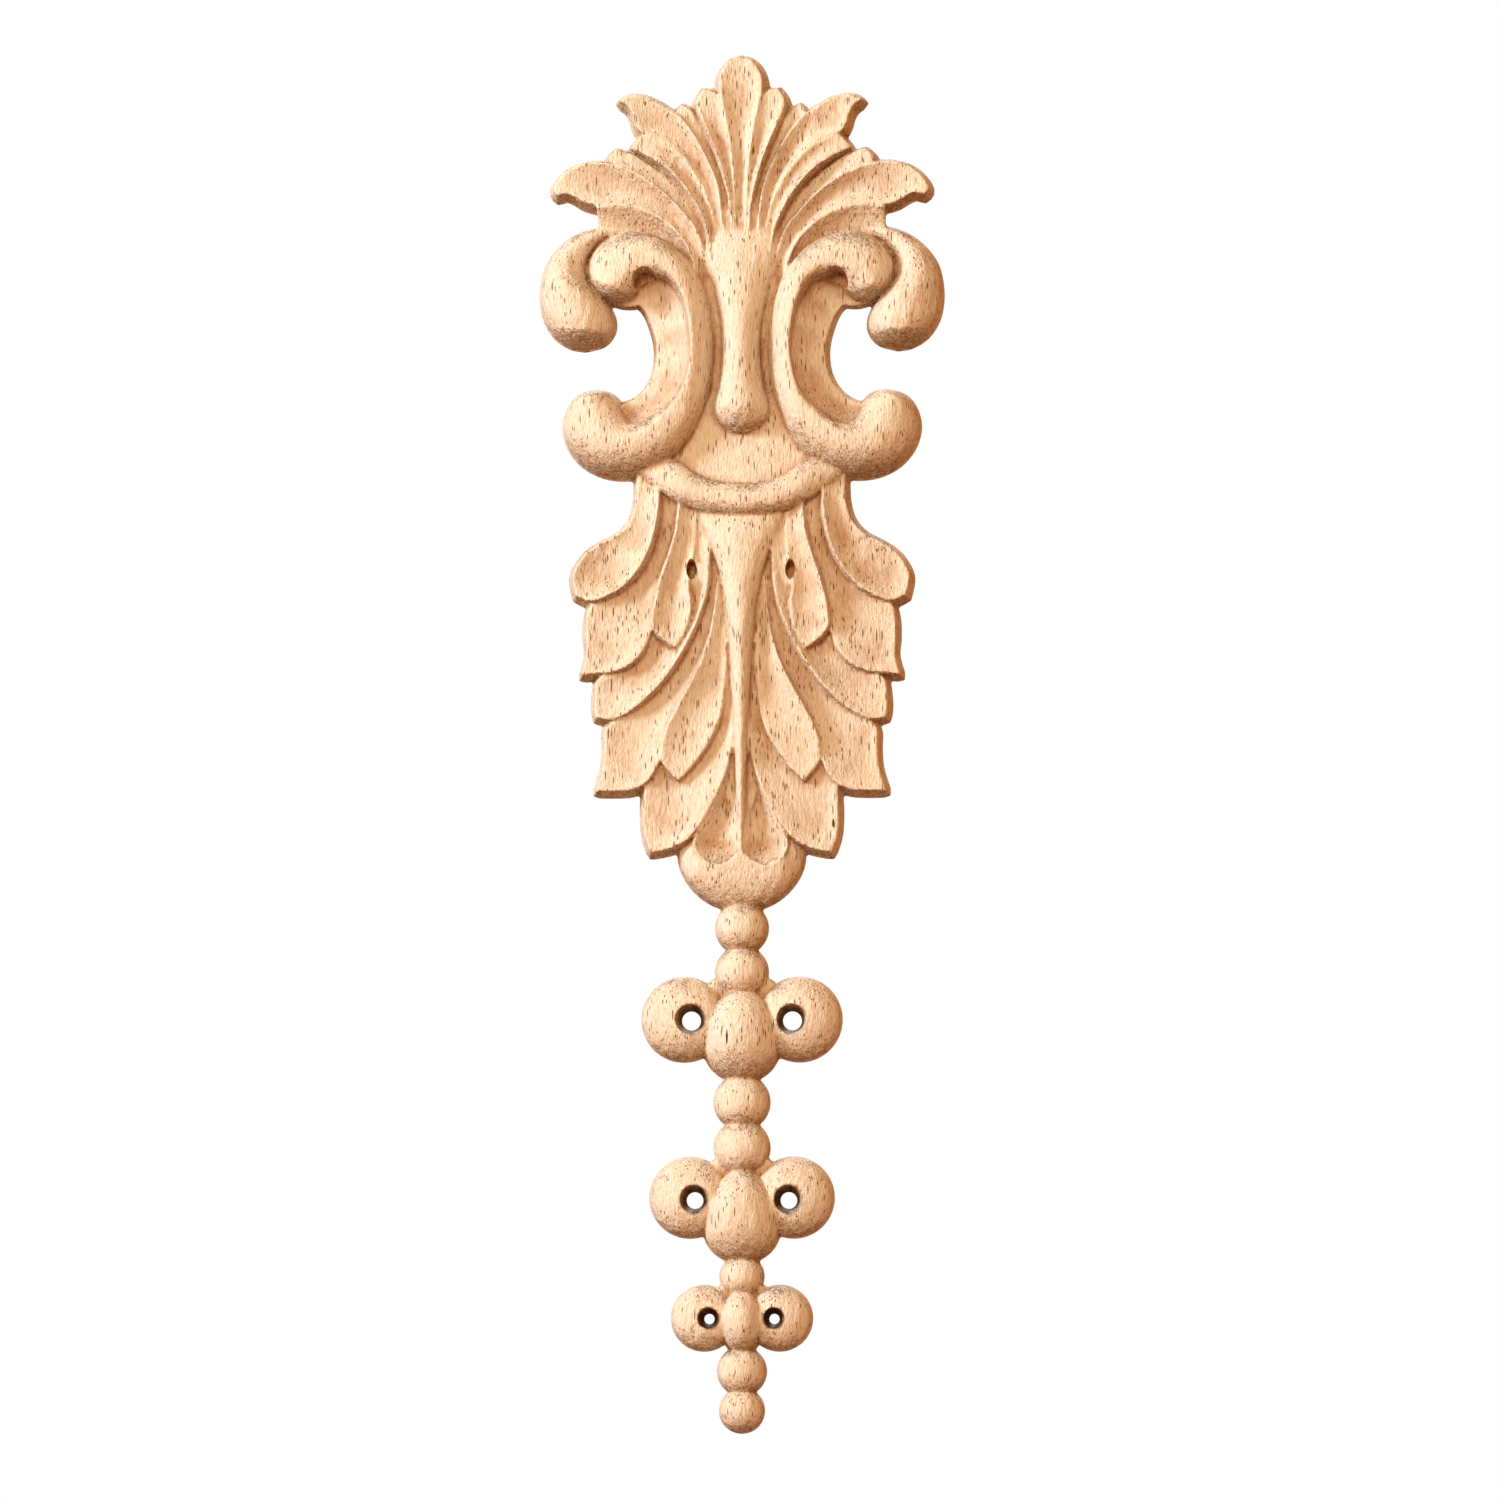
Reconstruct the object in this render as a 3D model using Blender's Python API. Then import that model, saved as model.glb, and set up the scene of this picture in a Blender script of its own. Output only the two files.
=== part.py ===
# Carved wood applique: a fan of leaves over two C-scrolls, a hanging drop leaf and a string of beads.
# One solid piece of wood. It hangs upright, its flat back on the wall at y = 0, its carved front facing -Y.
# The origin is on the back face, on the axis of symmetry and halfway up.
# Sizes are millimetres: x to the right, z up, and heights measured forward from the back face.

import math

import bmesh
import bpy
import numpy as np

MM = 0.001  # metres in a millimetre
MERGE_DISTANCE = 2e-6  # metres

# Driving dimensions
DRAFT = math.tan(math.radians(10.0))  # every side wall leans out towards the back by this slope
BEHIND = 1.5  # how far the rough shapes run past the back face before it is cut flat
ALONG_STEP = 4.6  # spacing of the facets along a lobe or scroll
FEWEST_ROWS = 5
TOUCHING = 1e-6  # two edge points nearer than this are one
LOBE_COLUMNS = 3  # facets across a dished lobe
ROLL_COLUMNS = 6  # facets across a rounded roll
KEEP_SHARE = 0.65  # share of the joined facets kept when the needless small ones are merged away
DOME_RINGS = 3
DOME_SIDES = 16
CURVE_SAMPLES = 12  # samples between two control points, before they are spaced evenly

WOOD_COLOUR = (0.80, 0.56, 0.36, 1.0)
WOOD_ROUGHNESS = 0.72

# Lobes of the fan on the right half, in (x, z). Each runs from its root to its tip between a near edge, on
# the side of the axis of symmetry, and a far edge. Heights and dish depths are read root to tip.
FAN_LOBES = {
    "shoulder_leaflet": dict(
        near=[(1.0, 120), (1.3, 135), (1.9, 143), (2.8, 150), (4.0, 156), (5.3, 161), (6.8, 163.2),
              (9.4, 163.8)],
        far=[(1.9, 120), (2.5, 133), (3.8, 140), (5.9, 147), (8.4, 153), (10.4, 157.5), (11.0, 160.8),
             (9.4, 163.8)],
        near_height=(10.2, 10.8, 10.0, 9.0), far_height=(10.2, 12.0, 11.4, 9.0), dish=(0.0, 1.2, 2.0, 0.0)),
    "sliver": dict(
        near=[(2.4, 120), (4.2, 138), (7.4, 148), (10.6, 155), (12.6, 158.6), (14.8, 160.2)],
        far=[(4.4, 120), (5.6, 137), (9.2, 146.6), (12.8, 153.4), (16.0, 157.8), (14.8, 160.2)],
        near_height=(10.2, 7.4, 6.6, 7.4), far_height=(10.2, 9.6, 9.0, 7.4), dish=(0.0, 0.3, 0.3, 0.0)),
    "upper_curl": dict(
        near=[(3.6, 120), (5.4, 137.5), (8.4, 146), (12.0, 152.6), (15.2, 156.8), (17.4, 158.2),
              (20.5, 160.3), (24.0, 161.9), (27.5, 162.3), (30.4, 161.0)],
        far=[(5.6, 120), (7.8, 135), (11.6, 142.8), (16.2, 148.4), (21.0, 151.6), (25.0, 153.0),
             (26.4, 155.0), (27.0, 157.2), (28.2, 159.4), (30.4, 161.0)],
        near_height=(10.0, 11.4, 9.8, 8.8, 9.0), far_height=(9.6, 9.8, 9.4, 9.0, 9.0),
        dish=(0.0, 1.4, 2.4, 1.4, 0.0)),
    "upper_leaflet": dict(
        near=[(4.8, 118), (7.4, 133.5), (11.2, 141.8), (16.0, 147.8), (21.0, 151.0), (24.4, 152.2),
              (27.6, 149.0)],
        far=[(6.8, 116), (8.2, 127), (10.2, 132.4), (12.8, 137.0), (15.8, 140.9), (19.4, 144.3),
             (23.4, 146.9), (27.6, 149.0)],
        near_height=(9.6, 10.2, 9.6, 8.4), far_height=(9.4, 12.2, 11.8, 8.4), dish=(0.0, 1.8, 2.2, 0.0)),
    "middle_leaflet": dict(
        near=[(6.0, 119), (8.8, 129), (12.8, 135.8), (17.8, 141.0), (23.0, 144.9), (27.4, 147.6),
              (31.3, 148.9)],
        far=[(8.0, 117), (11.0, 126.6), (15.6, 133.4), (20.8, 138.8), (26.4, 142.8), (31.0, 144.9),
             (33.4, 146.4), (31.3, 148.9)],
        near_height=(8.8, 7.2, 6.6, 7.4), far_height=(8.2, 9.2, 9.0, 7.4), dish=(0.0, 0.3, 0.3, 0.0)),
    "lower_curl": dict(
        near=[(6.2, 110), (10.4, 126.4), (15.0, 133.2), (20.4, 138.6), (26.0, 142.4), (31.0, 144.6),
              (35.0, 145.4), (39.0, 145.2), (42.6, 143.9), (45.4, 141.6), (47.0, 138.8), (46.0, 137.0)],
        far=[(8.6, 108), (12.6, 122.0), (17.6, 129.0), (23.6, 133.0), (29.6, 134.8), (35.4, 134.5),
             (38.8, 135.2), (41.6, 136.8), (43.8, 137.6), (46.0, 137.0)],
        near_height=(4.6, 10.8, 9.8, 8.6, 8.2), far_height=(4.6, 10.4, 9.8, 8.8, 8.2),
        dish=(0.0, 1.8, 2.4, 1.8, 0.0)),
    "scroll_shoulder": dict(
        near=[(7.6, 108), (12.4, 122.0), (17.4, 128.8), (23.4, 132.9), (29.6, 134.7), (36.0, 134.2)],
        far=[(10.6, 106), (14.6, 118.0), (19.4, 123.2), (25.0, 126.0), (30.4, 127.0), (36.0, 127.0)],
        near_height=(4.4, 9.2, 9.6, 9.2), far_height=(4.4, 6.2, 6.4, 6.4), dish=(0.0, 1.0, 1.0, 0.8)),
}
TOP_LEAF_EDGE = [(1.6, 118), (1.5, 134), (2.1, 144), (3.2, 152.6), (4.6, 159.4), (5.3, 163.4), (5.2, 166.6),
                 (4.1, 169.4), (2.2, 171.2), (0.0, 172.0)]
TOP_LEAF_HEIGHT = (10.4, 11.2, 10.8, 10.2, 9.0)
TOP_LEAF_DISH = (0.0, 1.8, 2.4, 2.4, 0.0)

# Hanging leaf: its lobes on the right half, the spine down its middle, the bed under the lobes, the boss
# at its foot and the small slot, called the eye, where the pointed lobe starts.
DROP_LOBES = {
    "shoulder_lobe": dict(
        near=[(20.6, 68), (20.4, 60), (21.0, 55), (22.3, 49.5), (24.4, 44.7), (27.0, 40.9), (30.2, 38.0),
              (33.8, 36.1), (37.4, 35.0), (41.2, 36.4)],
        far=[(26.0, 69), (26.0, 61.5), (26.8, 57.3), (28.4, 54.2), (31.2, 51.6), (35.2, 49.5), (38.4, 47.3),
             (40.7, 44.5), (42.0, 41.2), (41.2, 36.4)],
        near_height=(8.0, 11.6, 11.6, 10.2, 8.2), far_height=(7.0, 8.2, 8.6, 8.6, 8.2),
        dish=(0.2, 1.6, 2.4, 2.6, 0.0)),
    "second_lobe": dict(
        near=[(15.8, 64), (16.8, 54), (18.6, 46), (20.6, 38), (22.1, 29.4), (23.2, 24.9), (25.3, 21.2),
              (28.4, 18.6), (32.0, 17.3), (36.0, 17.0), (39.8, 16.5)],
        far=[(20.6, 64), (21.0, 54), (22.6, 48), (25.6, 42), (29.4, 38.2), (34.4, 35.8), (37.6, 34.0),
             (38.6, 30.6), (38.7, 26.0), (38.4, 21.6), (39.8, 16.5)],
        near_height=(7.0, 7.4, 8.6, 9.8, 7.8), far_height=(7.0, 6.2, 6.8, 7.6, 7.8),
        dish=(0.0, 0.4, 1.2, 1.6, 0.0)),
    "eye_lobe": dict(
        near=[(11.0, 62), (11.2, 53.0), (11.6, 47.0), (12.4, 42.5), (13.0, 38.5), (12.4, 34.5),
              (12.8, 30.0), (14.2, 26.4), (16.3, 23.0)],
        far=[(15.4, 64), (16.0, 53.8), (17.5, 47.5), (19.4, 42.0), (20.9, 36.8), (21.9, 32.0), (21.9, 28.4),
             (19.6, 25.4), (16.3, 23.0)],
        near_height=(7.4, 8.8, 11.0, 10.8, 9.6), far_height=(8.0, 11.4, 12.0, 11.6, 9.6),
        dish=(0.2, 1.4, 2.6, 2.0, 0.0)),
    "third_lobe": dict(
        near=[(9.4, 62), (8.0, 52), (7.8, 44), (8.4, 38), (10.0, 32.2), (12.4, 26.4), (15.8, 20.2),
              (20.0, 14.4), (24.8, 9.6), (29.0, 6.6), (32.6, 5.4), (36.2, 5.9)],
        far=[(13.4, 62), (13.2, 50), (14.4, 40), (19.0, 30.4), (25.4, 22.6), (31.4, 18.2), (35.6, 15.6),
             (36.4, 12.2), (36.6, 8.8), (36.2, 5.9)],
        near_height=(7.2, 9.6, 10.4, 9.8, 7.6), far_height=(7.6, 9.2, 7.0, 7.4, 7.6),
        dish=(0.0, 1.0, 1.8, 2.0, 0.0)),
    "fourth_lobe": dict(
        near=[(4.4, 52), (5.8, 38), (6.8, 30), (8.8, 22.4), (12.0, 15.0), (15.6, 8.6), (18.2, 3.0),
              (19.4, -1.8), (21.0, -6.6), (23.6, -10.4), (27.2, -12.1), (31.4, -12.5), (36.2, -12.5)],
        far=[(7.4, 52), (9.2, 38), (11.2, 30), (14.2, 23.8), (18.0, 17.6), (22.6, 12.0), (28.0, 7.4),
             (32.0, 5.0), (34.0, 3.0), (34.0, -1.6), (34.4, -6.6), (36.2, -12.5)],
        near_height=(6.4, 7.8, 8.2, 9.4, 7.6), far_height=(6.4, 6.4, 6.2, 7.2, 7.6),
        dish=(0.0, 0.5, 1.2, 1.8, 0.0)),
    "inner_lobe": dict(
        near=[(3.4, 48), (3.8, 32), (3.6, 20), (4.2, 12), (5.3, 5.6), (7.7, 0.0), (10.8, -4.7),
              (13.3, -7.8), (15.7, -10.1)],
        far=[(5.4, 48), (7.0, 30.6), (9.2, 21.6), (12.4, 14.6), (15.8, 8.6), (18.4, 3.4), (19.7, -1.4),
             (19.4, -5.6), (15.7, -10.1)],
        near_height=(6.4, 8.4, 9.8, 10.2, 8.8), far_height=(6.4, 9.0, 10.8, 10.8, 8.8),
        dish=(0.0, 0.8, 1.6, 1.6, 0.0)),
    "lowest_lobe": dict(
        near=[(1.2, 16), (2.0, 2.0), (2.8, -4.2), (3.9, -8.4), (5.7, -13.0), (8.2, -17.8), (11.0, -22.1),
              (13.6, -24.8), (17.4, -26.8), (22.5, -28.0)],
        far=[(3.6, 16), (5.6, 5.0), (9.4, 1.4), (14.6, -2.0), (19.8, -4.6), (23.4, -8.4), (24.2, -14.4),
             (24.3, -19.0), (23.9, -23.6), (22.5, -28.0)],
        near_height=(6.8, 8.8, 9.6, 9.4, 7.6), far_height=(6.4, 6.6, 7.4, 7.6, 7.6),
        dish=(0.0, 0.8, 1.8, 1.8, 0.0)),
    "last_flute": dict(
        near=[(0.5, 6), (0.7, -6.0), (0.6, -14.0), (0.4, -22.0), (0.2, -27.4), (1.8, -29.8), (4.0, -31.2),
              (6.4, -31.7)],
        far=[(1.8, 6), (3.2, -6.0), (5.2, -12.6), (7.8, -18.0), (10.4, -22.4), (11.8, -25.6), (10.9, -28.6),
             (8.9, -30.9), (6.4, -31.7)],
        near_height=(7.0, 8.4, 8.8, 9.0, 9.6), far_height=(7.0, 8.2, 8.6, 9.0, 9.6),
        dish=(0.2, 2.2, 3.4, 3.4, 0.0)),
}
SPINE_EDGE = [(13.0, 63), (10.6, 56.5), (8.2, 50), (6.3, 45), (5.0, 40), (4.1, 35), (3.3, 28), (2.7, 20),
              (2.3, 12), (2.0, 4), (1.6, -4), (1.2, -12), (0.9, -20), (0.0, -28.4)]
SPINE_CREST = (9.0, 12.2, 12.8, 12.2, 11.6, 10.6, 9.2)
SPINE_SIDE = (7.0, 7.2, 6.4, 6.2, 6.6, 7.2, 8.2)
BED_EDGE = [(23.0, 67), (19.0, 58), (22.0, 42), (30.0, 33), (32.0, 20), (31.0, 8), (29.0, -8), (20.0, -14),
            (18.0, -24), (9.0, -29), (0.0, -31)]
BED_HEIGHT = 4.6
BOSS_UPPER = [(-15.8, -24.0), (-14.0, -24.4), (-11.6, -25.6), (-9.8, -29.0), (-6.4, -31.0), (-3.0, -30.0),
              (0.0, -27.6), (3.0, -30.0), (6.4, -31.0), (9.8, -29.0), (11.6, -25.6), (14.0, -24.4),
              (15.8, -24.0)]
BOSS_LOWER = [(-15.8, -24.0), (-15.2, -31.0), (-12.2, -36.4), (-7.0, -40.4), (0.0, -42.0), (7.0, -40.4),
              (12.2, -36.4), (15.2, -31.0), (15.8, -24.0)]
BOSS_TOP = (3.0, 7.4, 9.2, 9.4, 9.6, 9.4, 9.2, 7.4, 3.0)
BOSS_SIDE = 3.0
LEAF_EYE = dict(x=12.3, z=42.8, radius_x=1.55, radius_z=3.1, front=16.0, back=3.4, back_share=0.70)

# C-scroll of the right half. Its roll swells into a ball at each free end, and a narrower place loses
# height in proportion. The channel fills the inside of the C, and the volute curls over the upper ball.
SCROLL_OUTER = [(32.0, 110.4), (35.8, 112.4), (38.0, 116.6), (37.6, 121.4), (34.4, 125.6), (29.4, 127.9),
                (24.0, 127.8), (19.0, 125.8), (14.6, 122.6), (11.2, 118.6), (8.7, 113.0), (7.2, 106.8),
                (6.8, 99.6), (7.2, 92.4), (8.6, 85.6), (11.0, 79.2), (14.2, 73.9), (18.4, 69.9),
                (23.6, 67.4), (29.4, 66.4), (35.0, 67.2), (39.8, 69.8), (43.2, 74.0), (44.6, 79.0),
                (43.6, 83.8), (41.0, 87.0), (37.0, 88.4)]
SCROLL_INNER = [(32.0, 110.4), (29.0, 110.8), (27.0, 112.6), (25.6, 114.8), (23.2, 116.4), (20.2, 116.6),
                (17.0, 114.8), (14.6, 111.0), (13.1, 106.0), (12.3, 99.4), (12.9, 93.0), (14.8, 87.6),
                (17.8, 83.8), (21.4, 81.2), (25.0, 79.6), (28.0, 80.0), (30.0, 82.6), (31.6, 86.2),
                (34.2, 88.0), (37.0, 88.4)]
SCROLL_ROLL = dict(
    near=SCROLL_OUTER, far=SCROLL_INNER, near_height=(5.2, 5.4, 5.0, 4.6, 4.4, 3.0, 3.0),
    far_height=(4.6, 11.4, 13.4, 13.8, 13.2, 8.0, 3.4), crest=(13.4, 14.8, 15.2, 15.4, 15.2, 14.8, 13.8),
    crest_share=(0.50, 0.72, 0.88, 0.90, 0.86, 0.60, 0.50), full_width=11.0)
SCROLL_CHANNEL = dict(
    near=[(24.0, 119.2), (20.2, 119.2), (16.2, 117.0), (13.6, 112.6), (11.8, 106.4), (11.1, 99.4),
          (11.7, 92.8), (13.7, 87.0), (16.8, 82.6), (20.8, 79.8), (25.0, 78.2), (29.0, 78.6), (32.0, 82.0)],
    far=[(27.2, 111.0), (25.4, 109.6), (23.8, 107.6), (22.4, 104.4), (21.4, 101.2), (21.0, 97.6),
         (21.5, 93.4), (23.2, 89.6), (25.8, 86.8), (28.6, 85.4), (31.6, 85.2)],
    near_height=(7.4, 11.4, 13.4, 14.2, 13.8, 13.0, 10.4), far_height=(4.8, 5.6, 6.6, 6.8, 6.6, 6.2, 5.4),
    dish=(1.4, 2.2, 2.2, 2.0, 2.2, 2.2, 0.8))
VOLUTE_ROLL = dict(
    near=[(21.0, 128.0), (26.0, 129.0), (31.0, 129.4), (36.0, 129.1), (41.0, 127.6), (45.4, 124.6),
          (48.6, 120.4), (50.1, 115.4), (50.3, 110.4), (49.2, 105.8), (46.6, 102.0), (43.0, 99.6),
          (39.2, 98.8)],
    far=[(21.0, 126.6), (27.0, 127.8), (32.0, 127.4), (36.2, 125.0), (38.7, 121.2), (38.9, 116.8),
         (36.6, 113.0), (33.8, 110.2), (32.0, 106.8), (32.1, 103.2), (34.5, 100.2), (39.2, 98.8)],
    near_height=(6.0, 5.4, 4.0, 3.0, 2.8), far_height=(5.0, 4.6, 3.6, 3.0, 2.8),
    crest=(12.0, 14.6, 15.0, 14.6, 14.2), full_width=15.0)
WEB = dict(x=28.2, z=112.0, radius_x=5.0, radius_z=2.6, height=4.8, wall=4.4)
SCROLL_EYE = dict(x=23.8, z=114.8, radius_x=3.7, radius_z=3.7, front=16.0, back=4.6, back_share=0.86)

# Middle of the piece: the stem between the scrolls, the ground behind it and the collar below.
STEM_EDGE = [(2.0, 139), (5.4, 132), (7.4, 125.5), (7.5, 119), (6.5, 112.5), (5.5, 107), (4.8, 101),
             (4.8, 95.5), (5.8, 88.5), (7.2, 83.0), (7.0, 79.6), (4.6, 77.2), (0.0, 76.4)]
STEM_CREST = (6.0, 9.6, 12.2, 13.3, 13.7, 14.3, 14.4)
STEM_SIDE = (5.0, 7.6, 7.4, 5.6, 5.4, 5.8, 6.4)
STEM_FULL_WIDTH = 9.0
GROUND_EDGE = [(9.0, 126), (13.0, 118), (13.0, 99), (15.0, 84), (20.0, 72), (17.0, 64), (10.0, 60),
               (0.0, 58.0)]
GROUND_HEIGHT = 4.5  # the sunken ground between the scrolls
APRON = dict(x=0.0, z=67.0, radius_x=25.0, radius_z=23.0, height=7.9, wall=3.4)
COLLAR = dict(
    near=[(-23.0, 72.0), (-16.4, 70.2), (-11.4, 67.0), (-6.0, 64.9), (0.0, 64.2), (6.0, 64.9), (11.4, 67.0),
          (16.4, 70.2), (23.0, 72.0)],
    far=[(-25.6, 67.2), (-20.4, 62.7), (-15.0, 59.3), (-8.0, 56.9), (0.0, 56.0), (8.0, 56.9), (15.0, 59.3),
         (20.4, 62.7), (25.6, 67.2)],
    near_height=(7.0, 7.8, 7.8, 7.8, 7.0), far_height=(7.0, 7.8, 7.8, 7.8, 7.0),
    crest=(9.0, 12.4, 13.0, 12.4, 9.0))

# Bead string, top to bottom. The eggs are wider at the bottom by the share called belly.
ROUND_BEADS = [(-46.4, 6.3, 9.0), (-57.4, 6.3, 9.0), (-89.8, 6.7, 9.2), (-101.2, 6.7, 9.2),
               (-133.2, 5.2, 8.0), (-156.8, 5.8, 8.2), (-166.6, 5.3, 7.8)]
EGGS = [
    dict(x=0.0, z=-73.0, radius_x=9.5, radius_z=11.6, height=13.2, belly=0.14),
    dict(x=0.0, z=-118.0, radius_x=9.3, radius_z=11.6, height=12.9, belly=0.20),
    dict(x=0.0, z=-144.4, radius_x=5.3, radius_z=8.0, height=10.8, belly=0.0),
]
BERRIES = [
    dict(x=14.4, z=-69.2, radius=10.3, height=9.6,
         hole_x=12.6, hole_z=-69.5, hole_radius=3.6, back_radius=2.2),
    dict(x=12.9, z=-113.6, radius=9.8, height=9.2,
         hole_x=11.7, hole_z=-114.3, hole_radius=3.4, back_radius=1.9),
    dict(x=9.4, z=-143.6, radius=7.9, height=8.2,
         hole_x=8.1, hole_z=-143.8, hole_radius=2.6, back_radius=1.1),
]
BEAD_WALL = 2.6  # upright height of a bead's rim, under its dome
NOOK = dict(radius_x=2.6, radius_z=2.6, height=5.0, wall=4.0)  # a small fill between bead, egg and berry
NOOK_ACROSS = 0.42  # where the fill lies across, as a share of the berry's x
NOOK_UP = 0.70  # and how far above the berry's middle, as a share of its radius
HOLE_FLARE = 1.15  # a berry's drill is this much wider than the hole's mouth, because it starts in front
DRILL_AHEAD = 2.0  # how far in front of the berry the drill starts, and
DRILL_BEYOND = 1.0  # how far behind the back face it ends

# Block that cuts the back flat
CUTTER_HALF_WIDTH = 80.0
CUTTER_HALF_LENGTH = 200.0
CUTTER_DEPTH = 20.0


def clear_scene():
    for old in list(bpy.data.objects):
        bpy.data.objects.remove(old)


def smooth_curve(points, count):
    """Points evenly spaced along the Catmull-Rom curve through the given ones."""
    knots = np.asarray(points, float)
    ends = np.vstack([2 * knots[0] - knots[1], knots, 2 * knots[-1] - knots[-2]])
    place = np.linspace(0, len(knots) - 1, CURVE_SAMPLES * (len(knots) - 1) + 1)
    index = np.minimum(place.astype(int), len(knots) - 2)
    part = (place - index)[:, None]
    a, b, c, d = (ends[index + k] for k in range(4))
    path = b + 0.5 * part * (c - a + part * (2 * a - 5 * b + 4 * c - d + part * (3 * b - a - 3 * c + d)))
    travel = np.concatenate([[0.0], np.cumsum(np.linalg.norm(np.diff(path, axis=0), axis=1))])
    wanted = np.linspace(0, travel[-1], count)
    return np.column_stack([np.interp(wanted, travel, path[:, k]) for k in range(2)])


def levels(values, share):
    """A value read at each share of the length from a few given root to tip, eased between them."""
    values = np.asarray(values, float)
    place = share * (len(values) - 1)
    index = np.minimum(place.astype(int), len(values) - 2)
    part = place - index
    part = part * part * (3 - 2 * part)
    return values[index] * (1 - part) + values[index + 1] * part


def length_of(edge):
    return np.linalg.norm(np.diff(np.asarray(edge, float), axis=0), axis=1).sum()


def rows_for(near, far):
    """Rows of points along a strip: its longer edge over the facet spacing, but never too few for a curve."""
    return max(FEWEST_ROWS, int(round(max(length_of(near), length_of(far)) / ALONG_STEP)) + 1)


def outward(edge, other):
    """Unit directions in plan, square to an edge and pointing away from the other edge."""
    along = np.gradient(edge, axis=0)
    away = np.column_stack([along[:, 1], -along[:, 0]])
    away /= np.linalg.norm(away, axis=1)[:, None]
    return away if np.sum(away * (edge - other)) >= 0 else -away


def walled_solid(name, near, far, across, height):
    """A closed solid: a carved top over the strip between two edges, and leaning walls down past the back.

    near and far are plan points, row by row, and may meet at either end. across holds the columns as
    shares from near to far, and height the carved height of each row and column.
    """
    rows, columns = height.shape
    middle = (near + far) / 2
    meets = {end: np.linalg.norm(near[end] - far[end]) < TOUCHING for end in (0, -1)}
    outer = {0: middle[0] - middle[1], -1: middle[-1] - middle[-2]}
    for end in (0, -1):
        if meets[end]:
            height[end] = height[end].mean()
    plan = near[:, None, :] + (far - near)[:, None, :] * across[None, :, None]
    top = np.stack([plan[..., 0], -height, plan[..., 1]], axis=-1).reshape(-1, 3)
    feet = []
    for edge, other, column in ((near, far, 0), (far, near, -1)):
        away = outward(edge, other)
        for end in (0, -1):
            if meets[end]:
                away[end] = outer[end] / np.linalg.norm(outer[end])
        foot = edge + away * (DRAFT * (height[:, column] + BEHIND))[:, None]
        feet.append(np.column_stack([foot[:, 0], np.full(rows, BEHIND), foot[:, 1]]))
    points = np.vstack([top, *feet])
    near_foot, far_foot = rows * columns, rows * columns + rows
    faces = []
    for i in range(rows - 1):
        a, b = i * columns, (i + 1) * columns
        for j in range(columns - 1):
            faces.append((a + j, a + j + 1, b + j + 1, b + j))
        faces.append((near_foot + i, a, b, near_foot + i + 1))
        faces.append((a + columns - 1, far_foot + i, far_foot + i + 1, b + columns - 1))
        faces.append((far_foot + i, near_foot + i, near_foot + i + 1, far_foot + i + 1))
    if not meets[0]:
        faces.append(tuple(range(columns)) + (far_foot, near_foot))
    if not meets[-1]:
        first, last = (rows - 1) * columns, rows * columns - 1
        faces.append(tuple(range(last, first - 1, -1)) + (near_foot + rows - 1, far_foot + rows - 1))
    return mesh_object(name, points, faces)


def mesh_object(name, points, faces):
    """A mesh object from millimetre points, with its doubles merged and its faces turned outwards."""
    mesh = bpy.data.meshes.new(name)
    mesh.from_pydata((np.asarray(points) * MM).tolist(), [], faces)
    shape = bmesh.new()
    shape.from_mesh(mesh)
    bmesh.ops.remove_doubles(shape, verts=shape.verts, dist=MERGE_DISTANCE)
    bmesh.ops.triangulate(shape, faces=shape.faces)
    bmesh.ops.recalc_face_normals(shape, faces=shape.faces)
    shape.to_mesh(mesh)
    shape.free()
    made = bpy.data.objects.new(name, mesh)
    bpy.context.scene.collection.objects.link(made)
    return made


def mirrored(points):
    return [(-x, z) for x, z in points]


def dished_lobe(name, near, far, near_height, far_height, dish):
    """A leaf lobe: hollowed between two raised edges that meet at its tip."""
    rows = rows_for(near, far)
    share = np.linspace(0, 1, rows)
    across = np.linspace(0, 1, LOBE_COLUMNS + 1)
    rim = levels(near_height, share)[:, None] * (1 - across) + levels(far_height, share)[:, None] * across
    height = rim - levels(dish, share)[:, None] * 4 * across * (1 - across)
    return walled_solid(name, smooth_curve(near, rows), smooth_curve(far, rows), across, height)


def round_roll(name, near, far, near_height, far_height, crest, crest_share=(0.5, 0.5), full_width=0.0):
    """A rounded roll: a quarter ellipse up from each edge to a crest line between them.

    Where the roll is narrower than full_width its crest sinks in proportion, which rounds off its ends.
    """
    rows = rows_for(near, far)
    share = np.linspace(0, 1, rows)
    near_path, far_path = smooth_curve(near, rows), smooth_curve(far, rows)
    peak = levels(crest_share, share)[:, None]
    turn = np.linspace(0, math.pi, ROLL_COLUMNS + 1)
    across = 0.5 - 0.5 * np.cos(turn)
    near_side = np.clip(across / peak, 0, 1)
    far_side = np.clip((1 - across) / (1 - peak), 0, 1)
    rise = np.where(across < peak, np.sqrt(1 - (1 - near_side) ** 2), np.sqrt(1 - (1 - far_side) ** 2))
    near_foot, far_foot = levels(near_height, share)[:, None], levels(far_height, share)[:, None]
    foot = near_foot + (far_foot - near_foot) * across
    if full_width:
        width = np.linalg.norm(near_path - far_path, axis=1)
        rise = rise * np.minimum(1.0, width / full_width)[:, None]
    height = foot + (levels(crest, share)[:, None] - foot) * rise
    return walled_solid(name, near_path, far_path, across, height)


def half_dome(name, near, far, near_height, far_height):
    """A surface that falls in a quarter ellipse from a high near edge to a low far edge."""
    rows = rows_for(near, far)
    across = np.sin(np.linspace(0, math.pi / 2, LOBE_COLUMNS + 1))
    top = levels(near_height, np.linspace(0, 1, rows))[:, None]
    height = far_height + (top - far_height) * np.sqrt(1 - across ** 2)
    return walled_solid(name, smooth_curve(near, rows), smooth_curve(far, rows), across, height)


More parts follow.
